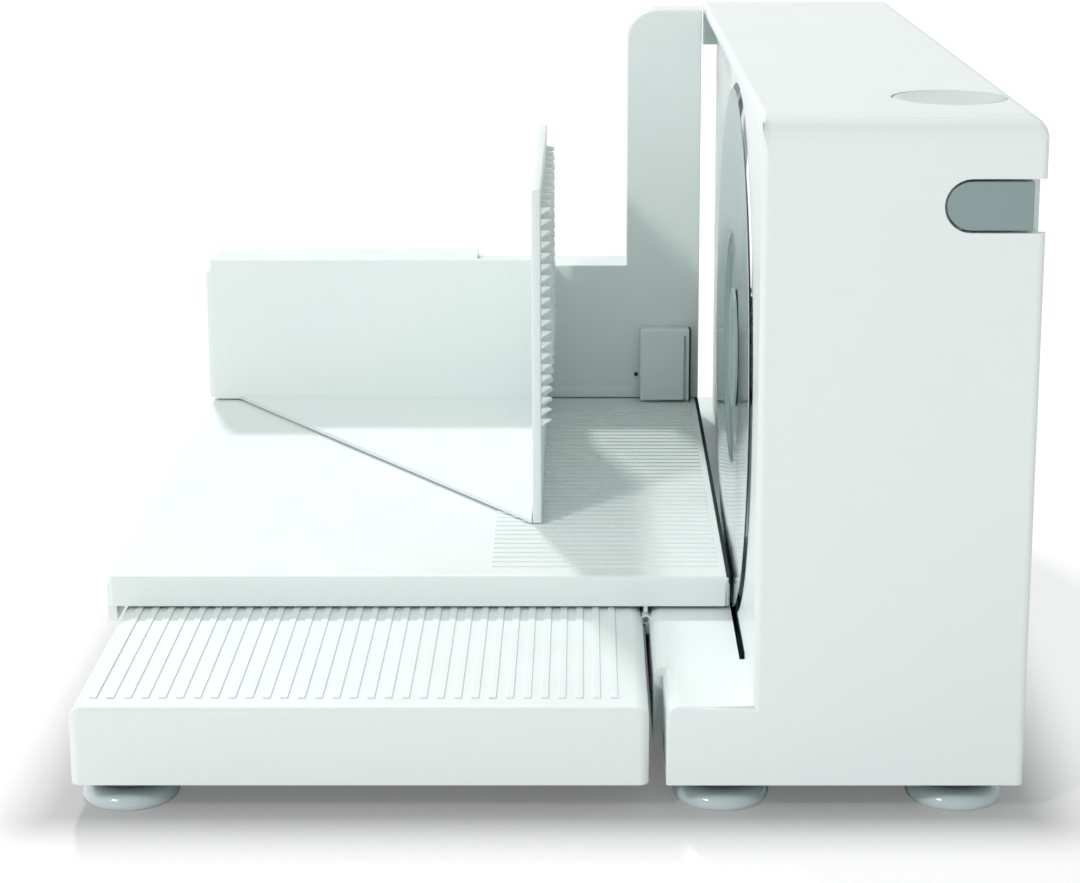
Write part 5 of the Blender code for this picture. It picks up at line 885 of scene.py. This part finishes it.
def screws():
    """Heads at the corners of the side cover, the post cover and the bottom plate."""
    places = []
    for node, inset in COVER_INSETS:
        low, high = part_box(node)
        for side, y in enumerate((low.y + inset, high.y - inset)):
            for level, z in enumerate((low.z + inset, high.z - inset)):
                if (node, side, level) not in COVER_WITHOUT:
                    places.append(((high.x, y, z), RIGHT))
    low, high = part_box("bottom_plate")
    across, along = BOTTOM_INSET
    for x in (low.x + across, high.x - across):
        for y in (low.y + along, (low.y + high.y) / 2, high.y - along):
            places.append(((x, y, low.z), DOWN))
    spread("screws", screw_head(), places, "main_body", "shaft_steel")


screws()


# Thickness scale
# Plain ticks stand round the knob on the post's far face, longer at every fifth.
TICK_COUNT = 21
TICK_GROUP = 5
TICK_START = math.radians(-33)
TICK_STEP = math.radians(12)
TICK_RING = 0.0215
TICK_HALF = 0.0003
TICK_RISE = 0.0001
TICK_ROUND = 0.00005
TICK_LENGTHS = (("ticks_long", 0.0040, 0), ("ticks_short", 0.0024, 1))
LINE_HALF = 0.0005
LINE_SINK = 0.001
LINE_RISE = 0.0001
LINE_START = 0.006
LINE_END = 0.0155
KNOB_ROUNDING = 0.0005


def tick(length):
    """Low flat bar that runs outwards along +Z."""
    bar = block("tick", (-TICK_HALF, -TICK_RISE, 0), (TICK_HALF, TICK_RISE, length), TICK_ROUND)
    unit = bar.data
    bpy.data.objects.remove(bar)
    return unit


def thickness_scale():
    """Ticks on an arc about the knob."""
    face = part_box("body_shell")[1].y
    for name, length, wanted in TICK_LENGTHS:
        places = []
        for number in range(TICK_COUNT):
            if min(number % TICK_GROUP, 1) != wanted:
                continue
            angle = TICK_START + TICK_STEP * number
            out = Vector((math.cos(angle), 0, math.sin(angle)))
            places.append(((KNOB_CENTRE.x + out.x * TICK_RING, face, KNOB_CENTRE.z + out.z * TICK_RING), out))
        spread(name, tick(length), places, "main_body", "grey_plastic")


def pointer_line():
    """Line on the knob's face that points at the ticks."""
    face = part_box("thickness_knob")[1].y
    start = (KNOB_CENTRE.x - LINE_HALF, face - LINE_SINK, KNOB_CENTRE.z + LINE_START)
    end = (KNOB_CENTRE.x + LINE_HALF, face + LINE_RISE, KNOB_CENTRE.z + LINE_END)
    dress(block("knob_line", start, end, LINE_RISE), "thickness_dial", "grey_plastic")


thickness_scale()
pointer_line()
refined("thickness_knob", KNOB_ROUNDING)


# Floor, light and camera
# A pale floor with a painted shadow round the slicer's footprint; one lamp stands low at the near left, the other
# high behind and to the left.
# The surroundings are dimmer to the right and above.
WHITE = tone(1.0, 1.0, 1.0)
FLOOR_REACH = 5.0
FLOOR_ROUGHNESS = 0.7
FLOOR_SHEEN = 0.1
FLOOR_SHADOW_FADE = (-0.014, 0.034)
FLOOR_GLOW = (0.01, 0.64)
FLOOR_BOUNCE = tone(0.88, 0.87, 0.87)
FLOOR_SEEN = tone(0.42, 0.417, 0.417)
LAMP_AIM = Vector((0.0, 0.0, 0.05))
LAMP_TINT = (1.0, 0.95, 0.96)
KEY_PLACE = Vector((-1.36, -1.71, 1.56))
KEY_SIZE = 0.3
KEY_POWER = 18.0
BACK_PLACE = Vector((-0.65, 2.09, 2.25))
BACK_SIZE = 0.22
BACK_POWER = 46.0
SKY_LEFT = tone(0.93, 0.945, 0.94)
SKY_RIGHT = tone(0.61, 0.63, 0.625)
SKY_HEIGHTS = (1.0, 0.69)
SKY_WIDTH = (-1.0, 1.0)
CAMERA_PLACE = Vector((0.0135, -0.8646, 0.3004))
CAMERA_PITCH = math.radians(77.13)
CAMERA_LENS = 81.27
CAMERA_SENSOR = 36
CAMERA_SHIFT = (-0.04, -0.1)


def floor_material():
    """Pale matt floor that glows to the camera; near the slicer's footprint the glow fades out, a painted shadow
    there.
    """
    made = bpy.data.materials.new("floor")
    made.use_nodes = True
    tree = made.node_tree
    shader = tree.nodes["Principled BSDF"]
    shader.inputs["Roughness"].default_value = FLOOR_ROUGHNESS
    shader.inputs["Specular IOR Level"].default_value = FLOOR_SHEEN
    shader.inputs["Emission Color"].default_value = WHITE
    low, high = (Vector(point) for point in CAD_BOX)
    middle = (low + high) / 2
    half = (high - low) / 2
    reach = tree.nodes.new("ShaderNodeTexCoord").outputs["Object"]
    for operation, value in (("SUBTRACT", (middle.x, middle.y, 0)), ("ABSOLUTE", None),
                             ("SUBTRACT", (half.x, half.y, 0)), ("MAXIMUM", (0, 0, 0)), ("LENGTH", None)):
        reach = vector_maths(tree, operation, reach, value)
    # The glow fades to almost nothing near the footprint: a painted contact shadow.
    glow = span(tree, reach, FLOOR_SHADOW_FADE, FLOOR_GLOW, (-600, -300))
    glow.node.interpolation_type = "SMOOTHSTEP"
    seen = tree.nodes.new("ShaderNodeLightPath").outputs["Is Camera Ray"]
    tree.links.new(blend(tree, seen, FLOOR_BOUNCE, FLOOR_SEEN, (-300, 300)), shader.inputs["Base Color"])
    lift = arithmetic(tree, "MULTIPLY", seen, glow, (-300, -300))
    tree.links.new(lift, shader.inputs["Emission Strength"])
    return made


def floor():
    """Wide flat floor under the feet."""
    mesh = mesh_of("floor", lambda work: bmesh.ops.create_grid(work, x_segments=1, y_segments=1,
                                                               size=FLOOR_REACH))
    item = link("floor", mesh)
    mesh.materials.append(floor_material())


def lamp(name, place, size, power):
    """Square area lamp that faces the slicer."""
    light = bpy.data.lights.new(name, "AREA")
    light.size = size
    light.energy = power
    light.color = LAMP_TINT
    item = link(name, light)
    item.location = place
    item.rotation_euler = (LAMP_AIM - place).to_track_quat("-Z", "Y").to_euler()


def surroundings():
    """Pale surroundings that show white to the camera."""
    world = bpy.data.worlds.new("surroundings")
    world.use_nodes = True
    tree = world.node_tree
    parts = tree.nodes.new("ShaderNodeSeparateXYZ")
    tree.links.new(tree.nodes.new("ShaderNodeTexCoord").outputs["Generated"], parts.inputs["Vector"])
    across = span(tree, parts.outputs["X"], SKY_WIDTH, UNIT, (-900, 0))
    sides = blend(tree, across, SKY_LEFT, SKY_RIGHT, (-600, 0))
    dimmed = vector_maths(tree, "SCALE", sides)
    upward = span(tree, parts.outputs["Z"], UNIT, SKY_HEIGHTS, (-600, -300))
    tree.links.new(upward, dimmed.node.inputs["Scale"])
    seen = tree.nodes.new("ShaderNodeLightPath").outputs["Is Camera Ray"]
    shown = blend(tree, seen, dimmed, WHITE, (-300, 0))
    tree.links.new(shown, tree.nodes["Background"].inputs["Color"])
    bpy.context.scene.world = world


def camera():
    """Camera at the photograph's viewing angle."""
    data = bpy.data.cameras.new("camera")
    data.sensor_width = CAMERA_SENSOR
    data.lens = CAMERA_LENS
    data.shift_x, data.shift_y = CAMERA_SHIFT
    item = link("camera", data)
    item.location = CAMERA_PLACE
    item.rotation_euler = (CAMERA_PITCH, 0, 0)
    bpy.context.scene.camera = item


floor()
lamp("key", KEY_PLACE, KEY_SIZE, KEY_POWER)
lamp("back", BACK_PLACE, BACK_SIZE, BACK_POWER)
surroundings()
camera()
bpy.context.scene.view_settings.view_transform = "Standard"
